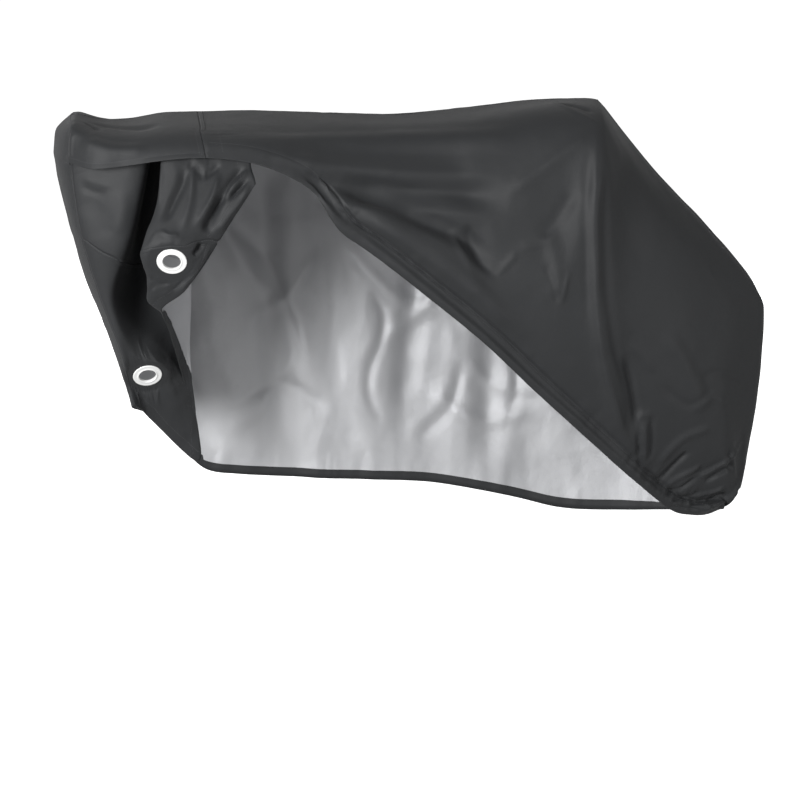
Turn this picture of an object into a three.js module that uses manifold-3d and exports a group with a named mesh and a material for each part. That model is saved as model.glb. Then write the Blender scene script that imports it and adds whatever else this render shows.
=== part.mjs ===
// A cover for two bicycles, hanging as it does over a pair that stand side by side.
// Millimetres. +X points to the rear, +Y to the far side, +Z up. The origin is the
// underside of the roof at mid-length, where the saddles and handlebars carry it.

import * as THREE from 'three';
import { mergeVertices } from 'three/addons/utils/BufferGeometryUtils.js';
import Module from 'manifold-3d';

const wasm = await Module();
wasm.setup();

// Driving dimensions.
const CLOTH = 2.4; // thickness of the coated cloth with its seam folds
const SEAM_GAP = 0.34; // between two pieces that are sewn edge to edge
const HEM_BAND = 50; // width of the elastic hem channel
const HEM_SWELL = 7; // how far the channel stands out from the cloth
const HEM_CREASE = 9; // depth of the crease along the channel's stitching
const HOLE_RADIUS = 25; // clear hole of an eyelet
const BARREL_RADIUS = 30; // its barrel, which goes through the cloth
const FLANGE_RADIUS = 43; // its flanges, on both faces of the cloth
const FLANGE = 3; // thickness of a flange
const EYELET_PLAY = 0.4; // between an eyelet and the cloth in its groove
const STRIP_CROWN = 8; // how far the rear strip is rounded outwards
const STRIP_FULL = 150; // the width from which the strip is rounded that far
const STRIP_OUT = [0.8, 0, 0.6]; // the way in which it is rounded
const NOSE_ROUNDNESS = 0.7; // below 1 the nose is blunter than a sine
const FOLD_END = 0.25; // how much of a fold is left at its two ends
const FOLD_FADE = 0.2; // the share of its length over which it fades towards an end

// How finely each piece is divided.
const ROW_STEPS = 3; // to each row of the near side's table
const FAR_ROW_STEPS = 2;
const REAR_ROW_STEPS = 2; // below the rear peak, on both sides and the strip
const ROOF_STEPS = 4;
const SIDE_STEPS = 12;
const HEM_STEPS = 3;
const BAND_STEPS = 5;
const BAND_ROWS = 4;
const DROP_STEPS = 5;
const DROP_ROWS = 2;
const LOCK_STEPS = 7;
const STRIP_STEPS = 3;
const FINE_EDGE = 24; // the longest edge this near to an eyelet
const FINE_RADIUS = 82;
const REFINE_ROUNDS = 4;
const LATHE_STEPS = 30;
const BORE_LENGTH = 30; // long enough to pass through the cloth, short enough to miss the next fold
const BISECTIONS = 40;
const SHARPEST_CORNER = 0.1; // keeps the seam gap's corners from running away

// The near side: one row for each section, from the front corner to the rear hem.
// Each runs from the closing seam over the shoulder and the belly to the lower edge.
const NEAR = [
  { seam: [-935, 0, 10], shoulder: [-928, -236, -8], belly: [-932, -242, -50], hem: [-934, -240, -99] },
  { seam: [-868, 0, -8], shoulder: [-860, -258, -24], belly: [-868, -300, -62], hem: [-874, -314, -108] },
  { seam: [-779, 0, -9], shoulder: [-775, -268, -30], belly: [-784, -314, -60], hem: [-790, -328, -100] },
  { seam: [-684, 0, 9], shoulder: [-684, -264, -18], belly: [-688, -322, -46], hem: [-690, -345, -84] },
  { seam: [-601, 0, 8], shoulder: [-593, -260, -14], belly: [-586, -328, -40], hem: [-579, -355, -77] },
  { seam: [-441, 0, 11], shoulder: [-444, -260, -18], belly: [-440, -338, -52], hem: [-435, -360, -98] },
  { seam: [-318, 0, 6], shoulder: [-323, -260, -24], belly: [-320, -340, -84], hem: [-305, -352, -166] },
  { seam: [-255, 0, 3], shoulder: [-260, -260, -32], belly: [-252, -342, -128], hem: [-235, -347, -273] },
  { seam: [-196, 0, 1], shoulder: [-200, -260, -39], belly: [-185, -345, -165], hem: [-159, -340, -327] },
  { seam: [-75, 0, -2], shoulder: [-81, -260, -48], belly: [-44, -345, -233], hem: [18, -340, -468] },
  { seam: [37, 0, 4], shoulder: [38, -260, -46], belly: [88, -345, -300], hem: [166, -335, -593] },
  { seam: [147, 0, 16], shoulder: [155, -260, -34], belly: [203, -345, -355], hem: [290, -320, -715] },
  { seam: [285, 0, 31], shoulder: [291, -262, -6], belly: [323, -348, -383], hem: [394, -305, -813] },
  { seam: [410, 0, 37], shoulder: [405, -270, 6], belly: [400, -352, -397], hem: [491, -275, -906] },
  { seam: [499, 0, 35], shoulder: [470, -280, -9], belly: [452, -352, -438], hem: [591, -235, -999] },
  { seam: [571, -110, -69], shoulder: [542, -232, -109], belly: [546, -312, -527], hem: [646, -200, -1049] },
  { seam: [672, -110, -183], shoulder: [620, -226, -228], belly: [635, -282, -644], hem: [689, -170, -1086] },
  { seam: [788, -100, -301], shoulder: [725, -206, -356], belly: [726, -252, -735], hem: [721, -150, -1106] },
  { seam: [911, -90, -438], shoulder: [815, -186, -498], belly: [776, -222, -826], hem: [753, -135, -1114] },
  { seam: [964, -80, -541], shoulder: [865, -168, -613], belly: [817, -200, -859], hem: [782, -120, -1121] },
  { seam: [957, -80, -777], shoulder: [880, -150, -815], belly: [846, -170, -952], hem: [817, -100, -1124] },
  { seam: [933, -70, -948], shoulder: [890, -124, -965], belly: [871, -130, -1034], hem: [845, -80, -1120] },
  { seam: [918, -62, -1060], shoulder: [903, -78, -1075], belly: [885, -84, -1095], hem: [862, -64, -1118] },
  { seam: [888, -54, -1104], shoulder: [883, -54, -1109], belly: [876, -52, -1114], hem: [867, -50, -1119] },
];
const DOUBLE_SEAM = 4; // the row of the upright double-stitched seam
const REAR_PEAK = 14; // the row where the roof ends and the rear strip begins
const HEM_BAND_ROW = 5; // the row where the hem channel begins

// The far side, row for row. It shares the closing seam up to the rear peak.
const FAR = [
  { seam: [-935, 0, 10], shoulder: [-930, 240, -26], belly: [-884, 235, -400], hem: [-755, 200, -865] },
  { seam: [-868, 0, -8], shoulder: [-862, 262, -60], belly: [-850, 318, -440], hem: [-700, 272, -945] },
  { seam: [-779, 0, -9], shoulder: [-778, 272, -72], belly: [-760, 338, -490], hem: [-640, 308, -1015] },
  { seam: [-684, 0, 9], shoulder: [-684, 268, -62], belly: [-680, 346, -520], hem: [-590, 324, -1068] },
  { seam: [-601, 0, 8], shoulder: [-600, 264, -60], belly: [-595, 338, -540], hem: [-520, 330, -1082] },
  { seam: [-441, 0, 11], shoulder: [-444, 262, -62], belly: [-440, 352, -550], hem: [-390, 335, -1094] },
  { seam: [-318, 0, 6], shoulder: [-320, 262, -70], belly: [-320, 340, -555], hem: [-290, 334, -1100] },
  { seam: [-255, 0, 3], shoulder: [-258, 262, -76], belly: [-255, 346, -560], hem: [-235, 330, -1104] },
  { seam: [-196, 0, 1], shoulder: [-198, 262, -82], belly: [-195, 350, -560], hem: [-180, 334, -1107] },
  { seam: [-75, 0, -2], shoulder: [-78, 262, -88], belly: [-75, 340, -560], hem: [-60, 330, -1112] },
  { seam: [37, 0, 4], shoulder: [38, 262, -84], belly: [40, 350, -560], hem: [60, 334, -1120] },
  { seam: [147, 0, 16], shoulder: [150, 262, -72], belly: [160, 340, -570], hem: [190, 322, -1140] },
  { seam: [285, 0, 31], shoulder: [288, 262, -48], belly: [300, 350, -580], hem: [330, 320, -1170] },
  { seam: [410, 0, 37], shoulder: [408, 266, -38], belly: [425, 342, -590], hem: [450, 303, -1200] },
  { seam: [499, 0, 35], shoulder: [474, 272, -48], belly: [525, 338, -600], hem: [560, 275, -1202] },
  { seam: [571, 100, -80], shoulder: [546, 218, -151], belly: [620, 305, -620], hem: [640, 250, -1198] },
  { seam: [672, 96, -195], shoulder: [626, 222, -265], belly: [690, 275, -680], hem: [700, 222, -1192] },
  { seam: [788, 92, -312], shoulder: [730, 202, -386], belly: [745, 245, -760], hem: [750, 200, -1187] },
  { seam: [911, 85, -448], shoulder: [820, 182, -522], belly: [800, 215, -840], hem: [790, 165, -1180] },
  { seam: [964, 75, -545], shoulder: [868, 162, -633], belly: [835, 195, -880], hem: [815, 135, -1172] },
  { seam: [957, 75, -780], shoulder: [882, 144, -834], belly: [855, 165, -970], hem: [838, 105, -1162] },
  { seam: [933, 65, -950], shoulder: [892, 118, -976], belly: [873, 125, -1050], hem: [855, 80, -1150] },
  { seam: [918, 58, -1062], shoulder: [904, 74, -1078], belly: [886, 80, -1102], hem: [864, 62, -1138] },
  { seam: [888, 52, -1106], shoulder: [883, 54, -1111], belly: [876, 53, -1118], hem: [867, 50, -1126] },
];

// Where the far side is drawn, so that its front edge meets the front end's rows.
const FAR_SIDE_PLACES = [
  ...evenPlaces(1, 1.22, BAND_STEPS),
  ...evenPlaces(1.23, 1.6, DROP_STEPS),
  ...evenPlaces(1.6, 3, LOCK_STEPS).slice(1),
];

// The near front cloth below the lip, fold by fold from the front corner to the flap's
// hem. Upper, middle and lower lie at a quarter, half and three quarters of its height;
// seam is the height of the level seam, or of where it would be.
const DROP = [
  { fold: 'front corner', top: [-934, -240, -104], upper: [-914, -238], middle: [-872, -222],
    lower: [-814, -196], foot: [-784, -136, -774], seam: -295 },
  { fold: 'strip', top: [-823, -285, -56], upper: [-845, -276], middle: [-852, -232],
    lower: [-799, -190], foot: [-768, -104, -790], seam: -333 },
  { fold: 'valley edge', top: [-720, -290, -42], upper: [-768, -288], middle: [-832, -226],
    lower: [-780, -178], foot: [-752, -72, -815], seam: -356 },
  { fold: 'valley wall', top: [-716, -190, -18], upper: [-764, -175], middle: [-802, -148],
    lower: [-752, -164], foot: [-733, -50, -838], seam: -380 },
  { fold: 'valley', top: [-708, -100, -6], upper: [-750, -78], middle: [-762, -82],
    lower: [-715, -142], foot: [-706, -30, -870], seam: -392 },
  { fold: 'inner fold', top: [-600, -120, -10], upper: [-610, -108], middle: [-628, -78],
    lower: [-632, -60], foot: [-594, -10, -985], seam: -387 },
  { fold: 'pleat', top: [-636, -225, -22], upper: [-640, -210], middle: [-640, -150],
    lower: [-642, -105], foot: [-650, -70, -715], seam: -370 },
  { fold: 'pleat edge', top: [-672, -285, -40], upper: [-690, -300], middle: [-706, -280],
    lower: [-700, -262], foot: [-684, -236, -540], seam: -338 },
  { fold: 'flap edge', top: [-698, -312, -54], upper: [-708, -350], middle: [-752, -378],
    lower: [-738, -352], foot: [-698, -305, -487], seam: -311 },
  { fold: 'flap', top: [-633, -312, -50], upper: [-642, -362], middle: [-668, -396],
    lower: [-652, -380], foot: [-629, -340, -417], seam: -287 },
  { fold: 'flap hem', top: [-563, -312, -48], upper: [-562, -346], middle: [-556, -376],
    lower: [-545, -382], foot: [-531, -368, -263], seam: -290 },
  { fold: 'flap top', top: [-467, -322, -52], upper: [-462, -336], middle: [-457, -348],
    lower: [-453, -356], foot: [-451, -360, -145], seam: -315 },
];
const LIP_LEVEL = -97; // the height from which the quarters are counted
const PLEAT_SEAM = 7.4; // where lock_front is sewn to lock_flap, behind the flap's edge

// The nose stands out in front of its corners by this much at these heights.
const NOSE = [
  { at: 10, out: 0 },
  { at: -30, out: 50 },
  { at: -100, out: 58 },
  { at: -230, out: 46 },
  { at: -380, out: 38 },
  { at: -560, out: 28 },
  { at: -880, out: 12 },
];

// Folds seen from the side. Each follows a line and stands out (+) or lies in (-),
// fading over its width to both sides and towards both ends.
const NEAR_FOLDS = [
  { name: 'roof trough', out: -14, width: 55, line: [[-430, -22], [-82, -75], [130, -98]] },
  { name: 'long trough', out: -20, width: 46, line: [[-224, -140], [-47, -206], [104, -287], [176, -394]] },
  { name: 'long roll', out: 14, width: 44, line: [[-190, -215], [0, -305], [110, -400], [190, -520]] },
  { name: 'vee fold', out: -12, width: 30, line: [[110, -270], [168, -386], [234, -344]] },
  { name: 'peak crease', out: -14, width: 36, line: [[391, -155], [295, -256]] },
  { name: 'upper fan', out: 9, width: 60, line: [[455, -30], [206, -203]] },
  { name: 'lower fan', out: 9, width: 50, line: [[455, -60], [350, -463]] },
  { name: 'rear ridge', out: 16, width: 44, line: [[466, -40], [442, -266], [465, -542], [539, -847], [585, -942]] },
  { name: 'rear valley', out: -22, width: 34, line: [[528, -545], [548, -660], [566, -785], [550, -850]] },
  { name: 'tongue', out: 12, width: 26, line: [[590, -770], [622, -905]] },
  { name: 'gather upper', out: -12, width: 22, line: [[650, -975], [738, -920]] },
  { name: 'gather long', out: -16, width: 26, line: [[630, -1000], [835, -972], [935, -936]] },
  { name: 'gather lower', out: -10, width: 20, line: [[735, -1075], [852, -1072]] },
];
const FAR_FOLDS = [
  { name: 'front drape', out: 14, width: 60, line: [[-720, -150], [-640, -900]] },
  { name: 'front hollow', out: -14, width: 50, line: [[-600, -200], [-500, -950]] },
  { name: 'bar drape', out: 16, width: 60, line: [[-430, -120], [-330, -1000]] },
  { name: 'bar crease', out: -12, width: 40, line: [[-300, -160], [-420, -700]] },
  { name: 'middle crease', out: -14, width: 45, line: [[-60, -200], [-160, -980]] },
  { name: 'middle drape', out: 14, width: 60, line: [[80, -160], [60, -1000]] },
  { name: 'saddle drape', out: 16, width: 60, line: [[330, -120], [260, -1040]] },
  { name: 'rear crease', out: -14, width: 50, line: [[450, -200], [460, -1060]] },
  { name: 'rear drape', out: 14, width: 55, line: [[520, -160], [640, -1060]] },
];

// The eyelets: where each sits, how its face is turned about the upright and tilted
// up, and how far the cloth around it lies flat and is drawn towards its plane.
const EYELETS = [
  { node: 'eyelet_near', cloth: 'lock_flap', centre: [-672, -386, -340], turn: -4, tilt: -28, flat: 54, drawn: 90 },
  { node: 'eyelet_front', cloth: 'lock_front', centre: [-745, -136, -690], turn: 8, tilt: -36, flat: 56, drawn: 84 },
];

const vector = (values) => new THREE.Vector3(...values);
const smooth = (value) => THREE.MathUtils.smoothstep(value, 0, 1);

// A smooth curve through points, read by point number.
function curveThrough(points) {
  const curve = new THREE.CatmullRomCurve3(points, false, 'centripetal');
  return (place) => curve.getPoint(place / (points.length - 1));
}

// The closing seam of a side: one curve along the roof, another down the rear.
function seamCurve(rows) {
  const points = rows.map((row) => vector(row.seam));
  const roof = curveThrough(points.slice(0, REAR_PEAK + 1));
  const rear = curveThrough(points.slice(REAR_PEAK));
  return (row) => (row <= REAR_PEAK ? roof(row) : rear(row - REAR_PEAK));
}

// The section of a side at a row: across 0 to 1 is the roof, 1 to 3 the side.
function sectionReader(rows) {
  const columns = ['shoulder', 'belly', 'hem'];
  const curves = columns.map((column) => curveThrough(rows.map((row) => vector(row[column]))));
  curves.unshift(seamCurve(rows));
  return (row) => curveThrough(curves.map((curve) => curve(row)));
}

const nearSection = sectionReader(NEAR);
const farSection = sectionReader(FAR);

// How far a point seen from the side is from a fold's line, and how far along it.
function placeOnLine(point, line) {
  const best = { distance: Infinity, along: 0 };
  const pieces = line.length - 1;
  for (let i = 0; i < pieces; i += 1) {
    const start = new THREE.Vector2(...line[i]);
    const run = new THREE.Vector2(...line[i + 1]).sub(start);
    const share = point.clone().sub(start).dot(run) / run.lengthSq();
    const part = THREE.MathUtils.clamp(share, 0, 1);
    const distance = point.distanceTo(start.addScaledVector(run, part));
    if (distance < best.distance) {
      best.distance = distance;
      best.along = (i + part) / pieces;
    }
  }
  return best;
}

// The sum of the folds' heights at a point of a side.
function foldHeight(folds, position) {
  const point = new THREE.Vector2(position.x, position.z);
  let height = 0;
  for (const fold of folds) {
    const { distance, along } = placeOnLine(point, fold.line);
    const towardsEnd = Math.min(along, 1 - along);
    height += fold.out * smooth(1 - distance / fold.width) * smooth(FOLD_END + towardsEnd / FOLD_FADE);
  }
  return height;
}

// Even places from one number to another, both ends included.
function evenPlaces(from, to, steps) {
  return Array.from({ length: steps + 1 }, (_, i) => from + ((to - from) * i) / steps);
}

// The rows at which a side is drawn, a number of steps to each row of its table.
function rowPlaces(from, to, frontSteps) {
  const places = [];
  for (let row = from; row < to; row += 1) {
    const steps = row < REAR_PEAK ? frontSteps : REAR_ROW_STEPS;
    places.push(...evenPlaces(row, row + 1, steps).slice(0, -1));
  }
  return [...places, to];
}

// Moves each point of a grid out along the cloth's own normal.
function withRelief(grid, outward, heightAt) {
  return grid.map((line, i) => line.map((point, j) => {
    const alongRows = grid[Math.min(i + 1, grid.length - 1)][j].clone().sub(grid[Math.max(i - 1, 0)][j]);
    const across = line[Math.min(j + 1, line.length - 1)].clone().sub(line[Math.max(j - 1, 0)]);
    const normal = alongRows.cross(across).normalize().multiplyScalar(outward);
    return point.clone().addScaledVector(normal, heightAt(point, i, j));
  }));
}

function nearFrontGrid() {
  const places = [...evenPlaces(0, 1, ROOF_STEPS), ...evenPlaces(1, 3, BAND_STEPS).slice(1)];
  const rows = evenPlaces(0, DOUBLE_SEAM, DOUBLE_SEAM * BAND_ROWS);
  return rows.map((row) => places.map(nearSection(row)));
}

function nearRearGrid() {
  const rows = rowPlaces(DOUBLE_SEAM, NEAR.length - 1, ROW_STEPS);
  const hemStart = ROOF_STEPS + SIDE_STEPS;
  const grid = rows.map((row) => {
    const section = nearSection(row);
    const length = section(1).distanceTo(section(2)) + section(2).distanceTo(section(3));
    // The side is two units long on the section, and the band takes its share of them.
    const bandStart = 3 - Math.min(0.5, (2 * HEM_BAND) / length);
    const roof = evenPlaces(0, 1, ROOF_STEPS);
    const side = evenPlaces(1, bandStart, SIDE_STEPS).slice(1);
    const band = evenPlaces(bandStart, 3, HEM_STEPS).slice(1);
    return [...roof, ...side, ...band].map(section);
  });
  // The closing seam and the line next to it stay where the far side meets them.
  return withRelief(grid, -1, (point, i, j) => {
    if (j < 2) {
      return 0;
    }
    const begins = smooth((rows[i] - HEM_BAND_ROW) / 2);
    const intoBand = (j - hemStart) / HEM_STEPS;
    const swell = intoBand > 0 ? HEM_SWELL * Math.sin(Math.PI * intoBand) : 0;
    const crease = j === hemStart ? -HEM_CREASE : 0;
    return begins * (swell + crease) + foldHeight(NEAR_FOLDS, point);
  });
}

function farGrid() {
  const rows = rowPlaces(0, FAR.length - 1, FAR_ROW_STEPS);
  const places = [...evenPlaces(0, 1, ROOF_STEPS), ...FAR_SIDE_PLACES.slice(1)];
  const grid = rows.map((row) => places.map(farSection(row)));
  return withRelief(grid, 1, (point, i, j) => (i < 1 || j < 2 ? 0 : foldHeight(FAR_FOLDS, point)));
}

// One fold line of the drop, read from 0 at its top to 4 at its foot.
function dropLine(row) {
  const place = (column) => curveThrough(DROP.map((fold) => vector(column(fold))));
  const level = (fold, name, share) => [...fold[name], LIP_LEVEL + (fold.foot[2] - LIP_LEVEL) * share];
  const columns = [
    place((fold) => fold.top),
    place((fold) => level(fold, 'upper', 0.25)),
    place((fold) => level(fold, 'middle', 0.5)),
    place((fold) => level(fold, 'lower', 0.75)),
    place((fold) => fold.foot),
  ];
  return curveThrough(columns.map((column) => column(row)));
}

// Where a fold line reaches a height, between 0 and 4.
function placeAtHeight(line, height) {
  let upper = 0;
  let lower = 4;
  for (let i = 0; i < BISECTIONS; i += 1) {
    const middle = (upper + lower) / 2;
    if (line(middle).z > height) {
      upper = middle;
    } else {
      lower = middle;
    }
  }
  return lower;
}

const seamHeight = curveThrough(DROP.map((fold) => new THREE.Vector3(0, 0, fold.seam)));
const seamReachesHem = (row) => seamHeight(row).z <= dropLine(row)(4).z;

// The row at which the level seam runs out at the flap's hem.
function seamEndRow() {
  let before = PLEAT_SEAM;
  let after = DROP.length - 1;
  for (let i = 0; i < BISECTIONS; i += 1) {
    const middle = (before + after) / 2;
    if (seamReachesHem(middle)) {
      after = middle;
    } else {
      before = middle;
    }
  }
  return after;
}

// The cloth around an eyelet is drawn flat, facing as the eyelet does.
function eyeletAxis(eyelet) {
  const axis = new THREE.Vector3(0, -1, 0);
  axis.applyAxisAngle(new THREE.Vector3(1, 0, 0), THREE.MathUtils.degToRad(-eyelet.tilt));
  return axis.applyAxisAngle(new THREE.Vector3(0, 0, 1), THREE.MathUtils.degToRad(eyelet.turn));
}

function drawnFlat(point) {
  const moved = point.clone();
  for (const eyelet of EYELETS) {
    const axis = eyeletAxis(eyelet);
    const offset = point.clone().sub(vector(eyelet.centre));
    const height = offset.dot(axis);
    const radius = Math.sqrt(Math.max(0, offset.lengthSq() - height * height));
    const away = Math.max(radius, Math.abs(height));
    const pull = smooth((eyelet.drawn - away) / (eyelet.drawn - eyelet.flat));
    moved.addScaledVector(axis, -height * pull);
  }
  return moved;
}

function dropGrids() {
  const lastRow = DROP.length - 1;
  const endRow = seamEndRow();
  const rows = [...new Set([...evenPlaces(0, lastRow, lastRow * DROP_ROWS), PLEAT_SEAM, endRow])];
  rows.sort((a, b) => a - b);
  const upper = [];
  const front = [];
  const flap = [];
  for (const row of rows) {
    const line = dropLine(row);
    const seam = row < endRow ? placeAtHeight(line, seamHeight(row).z) : 4;
    upper.push(evenPlaces(0, seam, DROP_STEPS).map(line));
    const lower = evenPlaces(seam, 4, LOCK_STEPS).map(line);
    if (row <= PLEAT_SEAM) {
      front.push(lower);
    }
    if (row >= PLEAT_SEAM && row <= endRow) {
      flap.push(lower);
    }
  }
  return { upper, front, flap };
}

// The nose: drawn between the two front corners and the roof's front edge.
function frontEndGrid(bandEdge, dropEdge, lockEdge, farEdge) {
  const near = [...bandEdge.slice(ROOF_STEPS), ...dropEdge, ...lockEdge.slice(1)];
  const far = farEdge.slice(ROOF_STEPS);
  const roofEdge = [...bandEdge.slice(0, ROOF_STEPS + 1).reverse(), ...farEdge.slice(1, ROOF_STEPS + 1)];
  const columns = roofEdge.length - 1;
  return near.map((nearPoint, i) => roofEdge.map((roofPoint, j) => {
    if (i === 0) {
      return roofPoint;
    }
    const across = j / columns;
    const straight = nearPoint.clone().lerp(far[i], across);
    straight.x -= noseOut(straight.z) * Math.sin(Math.PI * across) ** NOSE_ROUNDNESS;
    return straight;
  }));
}

function noseOut(height) {
  let out = NOSE[NOSE.length - 1].out;
  for (let i = NOSE.length - 1; i > 0; i -= 1) {
    const lower = NOSE[i];
    const upper = NOSE[i - 1];
    if (height >= lower.at) {
      const share = Math.min(1, (height - lower.at) / (upper.at - lower.at));
      out = THREE.MathUtils.lerp(lower.out, upper.out, share);
    }
  }
  return out;
}

// The rear strip, between the near and the far seam below the peak.
function rearStripGrid() {
  return rowPlaces(REAR_PEAK, NEAR.length - 1, REAR_ROW_STEPS).map((row) => {
    const near = nearSection(row)(0);
    const far = farSection(row)(0);
    return evenPlaces(0, 1, STRIP_STEPS).map((across) => {
      const point = near.clone().lerp(far, across);
      const fullness = Math.min(1, near.distanceTo(far) / STRIP_FULL);
      return point.addScaledVector(vector(STRIP_OUT), STRIP_CROWN * Math.sin(Math.PI * across) * fullness);
    });
  });
}

// All the cloth as one sheet of shared points, each face in its own piece.
const sheet = { points: [], numbers: new Map(), faces: [] };

function pointNumber(point) {
  const key = point.toArray().map((value) => Math.round(value * 100)).join(' ');
  if (!sheet.numbers.has(key)) {
    sheet.numbers.set(key, sheet.points.length);
    sheet.points.push(point.clone());
  }
  return sheet.numbers.get(key);
}

function addGrid(piece, grid, outward) {
  const numbers = grid.map((line) => line.map(pointNumber));
  for (let i = 0; i < numbers.length - 1; i += 1) {
    for (let j = 0; j < numbers[i].length - 1; j += 1) {
      const corners = [numbers[i][j], numbers[i + 1][j], numbers[i + 1][j + 1], numbers[i][j + 1]];
      if (outward < 0) {
        corners.reverse();
      }
      const [a, b, c, d] = corners;
      for (const face of [[a, b, c], [a, c, d]]) {
        if (new Set(face).size === 3) {
          sheet.faces.push({ piece, face });
        }
      }
    }
  }
}

// A face cut at the middles of those of its edges that have one.
function splitFace(face, middles) {
  const count = middles.filter((middle) => middle !== null).length;
  const open = middles.indexOf(null);
  const whole = middles.findIndex((middle) => middle !== null);
  const first = { 1: whole, 2: (open + 1) % 3 }[count] ?? 0;
  const [a, b, c] = [0, 1, 2].map((k) => face[(first + k) % 3]);
  const [ab, bc, ca] = [0, 1, 2].map((k) => middles[(first + k) % 3]);
  return [
    [[a, b, c]],
    [[a, ab, c], [ab, b, c]],
    [[ab, b, bc], [a, ab, bc], [a, bc, c]],
    [[a, ab, ca], [ab, b, bc], [ca, bc, c], [ab, bc, ca]],
  ][count];
}

// Halves the long edges near the eyelets, in all faces that share them.
function refineAroundEyelets() {
  const { points } = sheet;
  const isNear = (point) => EYELETS.some((eyelet) => point.distanceTo(vector(eyelet.centre)) < FINE_RADIUS);
  const middles = new Map();
  const middleOf = (a, b) => {
    const key = a < b ? `${a} ${b}` : `${b} ${a}`;
    if (!middles.has(key)) {
      const middle = points[a].clone().lerp(points[b], 0.5);
      const split = points[a].distanceTo(points[b]) > FINE_EDGE && isNear(middle);
      middles.set(key, split ? pointNumber(middle) : null);
    }
    return middles.get(key);
  };
  sheet.faces = sheet.faces.flatMap(({ piece, face }) => {
    const halves = face.map((from, k) => middleOf(from, face[(k + 1) % 3]));
    return splitFace(face, halves).map((part) => ({ piece, face: part }));
  });
}

function faceNormal([a, b, c]) {
  const { points } = sheet;
  return points[b].clone().sub(points[a]).cross(points[c].clone().sub(points[a]));
}

function sheetNormals() {
  const normals = sheet.points.map(() => new THREE.Vector3());
  for (const { face } of sheet.faces) {
    const normal = faceNormal(face).normalize();
    face.forEach((number, k) => {
      const corner = sheet.points[number];
      const one = sheet.points[face[(k + 1) % 3]].clone().sub(corner);
      const other = sheet.points[face[(k + 2) % 3]].clone().sub(corner);
      normals[number].addScaledVector(normal, one.angleTo(other));
    });
  }
  // Along the roof's closing seam the two halves are cut upright.
  normals.forEach((normal, number) => {
    if (sheet.points[number].y === 0) {
      normal.y = 0;
    }
  });
  return normals.map((normal) => normal.normalize());
}

// The open edges of a piece, each with the way into the piece. Two pieces that share a
// seam measure it from the same normals, so that they draw back from one plane.
function openEdges(faces, normals) {
  const edges = new Map();
  for (const face of faces) {
    face.forEach((from, k) => {
      const to = face[(k + 1) % 3];
      if (!edges.delete(`${to} ${from}`)) {
        edges.set(`${from} ${to}`, { from, to });
      }
    });
  }
  return [...edges.values()].map(({ from, to }) => {
    const run = sheet.points[to].clone().sub(sheet.points[from]);
    const upright = normals[from].clone().add(normals[to]);
    return { from, to, inward: upright.cross(run).normalize() };
  });
}

// A closed solid: the piece's faces on both sides of its cloth, and a rim between.
function clothSolid(piece, normals) {
  const faces = sheet.faces.filter((entry) => entry.piece === piece).map((entry) => entry.face);
  const edges = openEdges(faces, normals);
  const inset = new Map();
  for (const { from, to, inward } of edges) {
    for (const number of [from, to]) {
      const both = inset.get(number) ?? [];
      inset.set(number, [...both, inward]);
    }
  }
  const places = new Map();
  const positions = [];
  for (const number of new Set(faces.flat())) {
    const point = sheet.points[number].clone();
    const [one, other] = inset.get(number) ?? [];
    if (one && other) {
      const spread = Math.max(SHARPEST_CORNER, 1 + one.dot(other));
      point.addScaledVector(one.clone().add(other), SEAM_GAP / 2 / spread);
    }
    const half = normals[number].clone().multiplyScalar(CLOTH / 2);
    places.set(number, positions.length / 3);
    positions.push(...point.clone().add(half).toArray(), ...point.clone().sub(half).toArray());
  }
  const index = [];
  for (const [a, b, c] of faces.map((face) => face.map((number) => places.get(number)))) {
    index.push(a, b, c, c + 1, b + 1, a + 1);
  }
  for (const edge of edges) {
    // Both pieces at a seam cut their rims along the same diagonals.
    const from = places.get(edge.from);
    const to = places.get(edge.to);
    if (edge.from < edge.to) {
      index.push(to, from, to + 1, from, from + 1, to + 1);
    } else {
      index.push(to, from, from + 1, to, from + 1, to + 1);
    }
  }
  const geometry = new THREE.BufferGeometry();
  geometry.setAttribute('position', new THREE.Float32BufferAttribute(positions, 3));
  geometry.setIndex(index);
  return geometry;
}

function toManifold(geometry) {
  const bare = geometry.clone();
  bare.deleteAttribute('normal');
  bare.deleteAttribute('uv');
  const merged = mergeVertices(bare, 1e-4);
  return new wasm.Manifold(new wasm.Mesh({
    numProp: 3,
    vertProperties: merged.attributes.position.array,
    triVerts: new Uint32Array(merged.index.array),
  }));
}

function fromManifold(solid) {
  const mesh = solid.getMesh();
  const geometry = new THREE.BufferGeometry();
  geometry.setAttribute('position', new THREE.BufferAttribute(mesh.vertProperties, 3));
  geometry.setIndex(new THREE.BufferAttribute(mesh.triVerts, 1));
  return geometry;
}

// Turns geometry made along the Y axis to an eyelet's place and face.
function atEyelet(geometry, eyelet) {
  const turn = new THREE.Quaternion().setFromUnitVectors(new THREE.Vector3(0, 1, 0), eyeletAxis(eyelet));
  return geometry.applyQuaternion(turn).translate(...eyelet.centre);
}

function withEyeletHole(geometry, eyelet) {
  const radius = BARREL_RADIUS + EYELET_PLAY;
  const bore = atEyelet(new THREE.CylinderGeometry(radius, radius, BORE_LENGTH, LATHE_STEPS), eyelet);
  return fromManifold(toManifold(geometry).subtract(toManifold(bore)));
}

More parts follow.
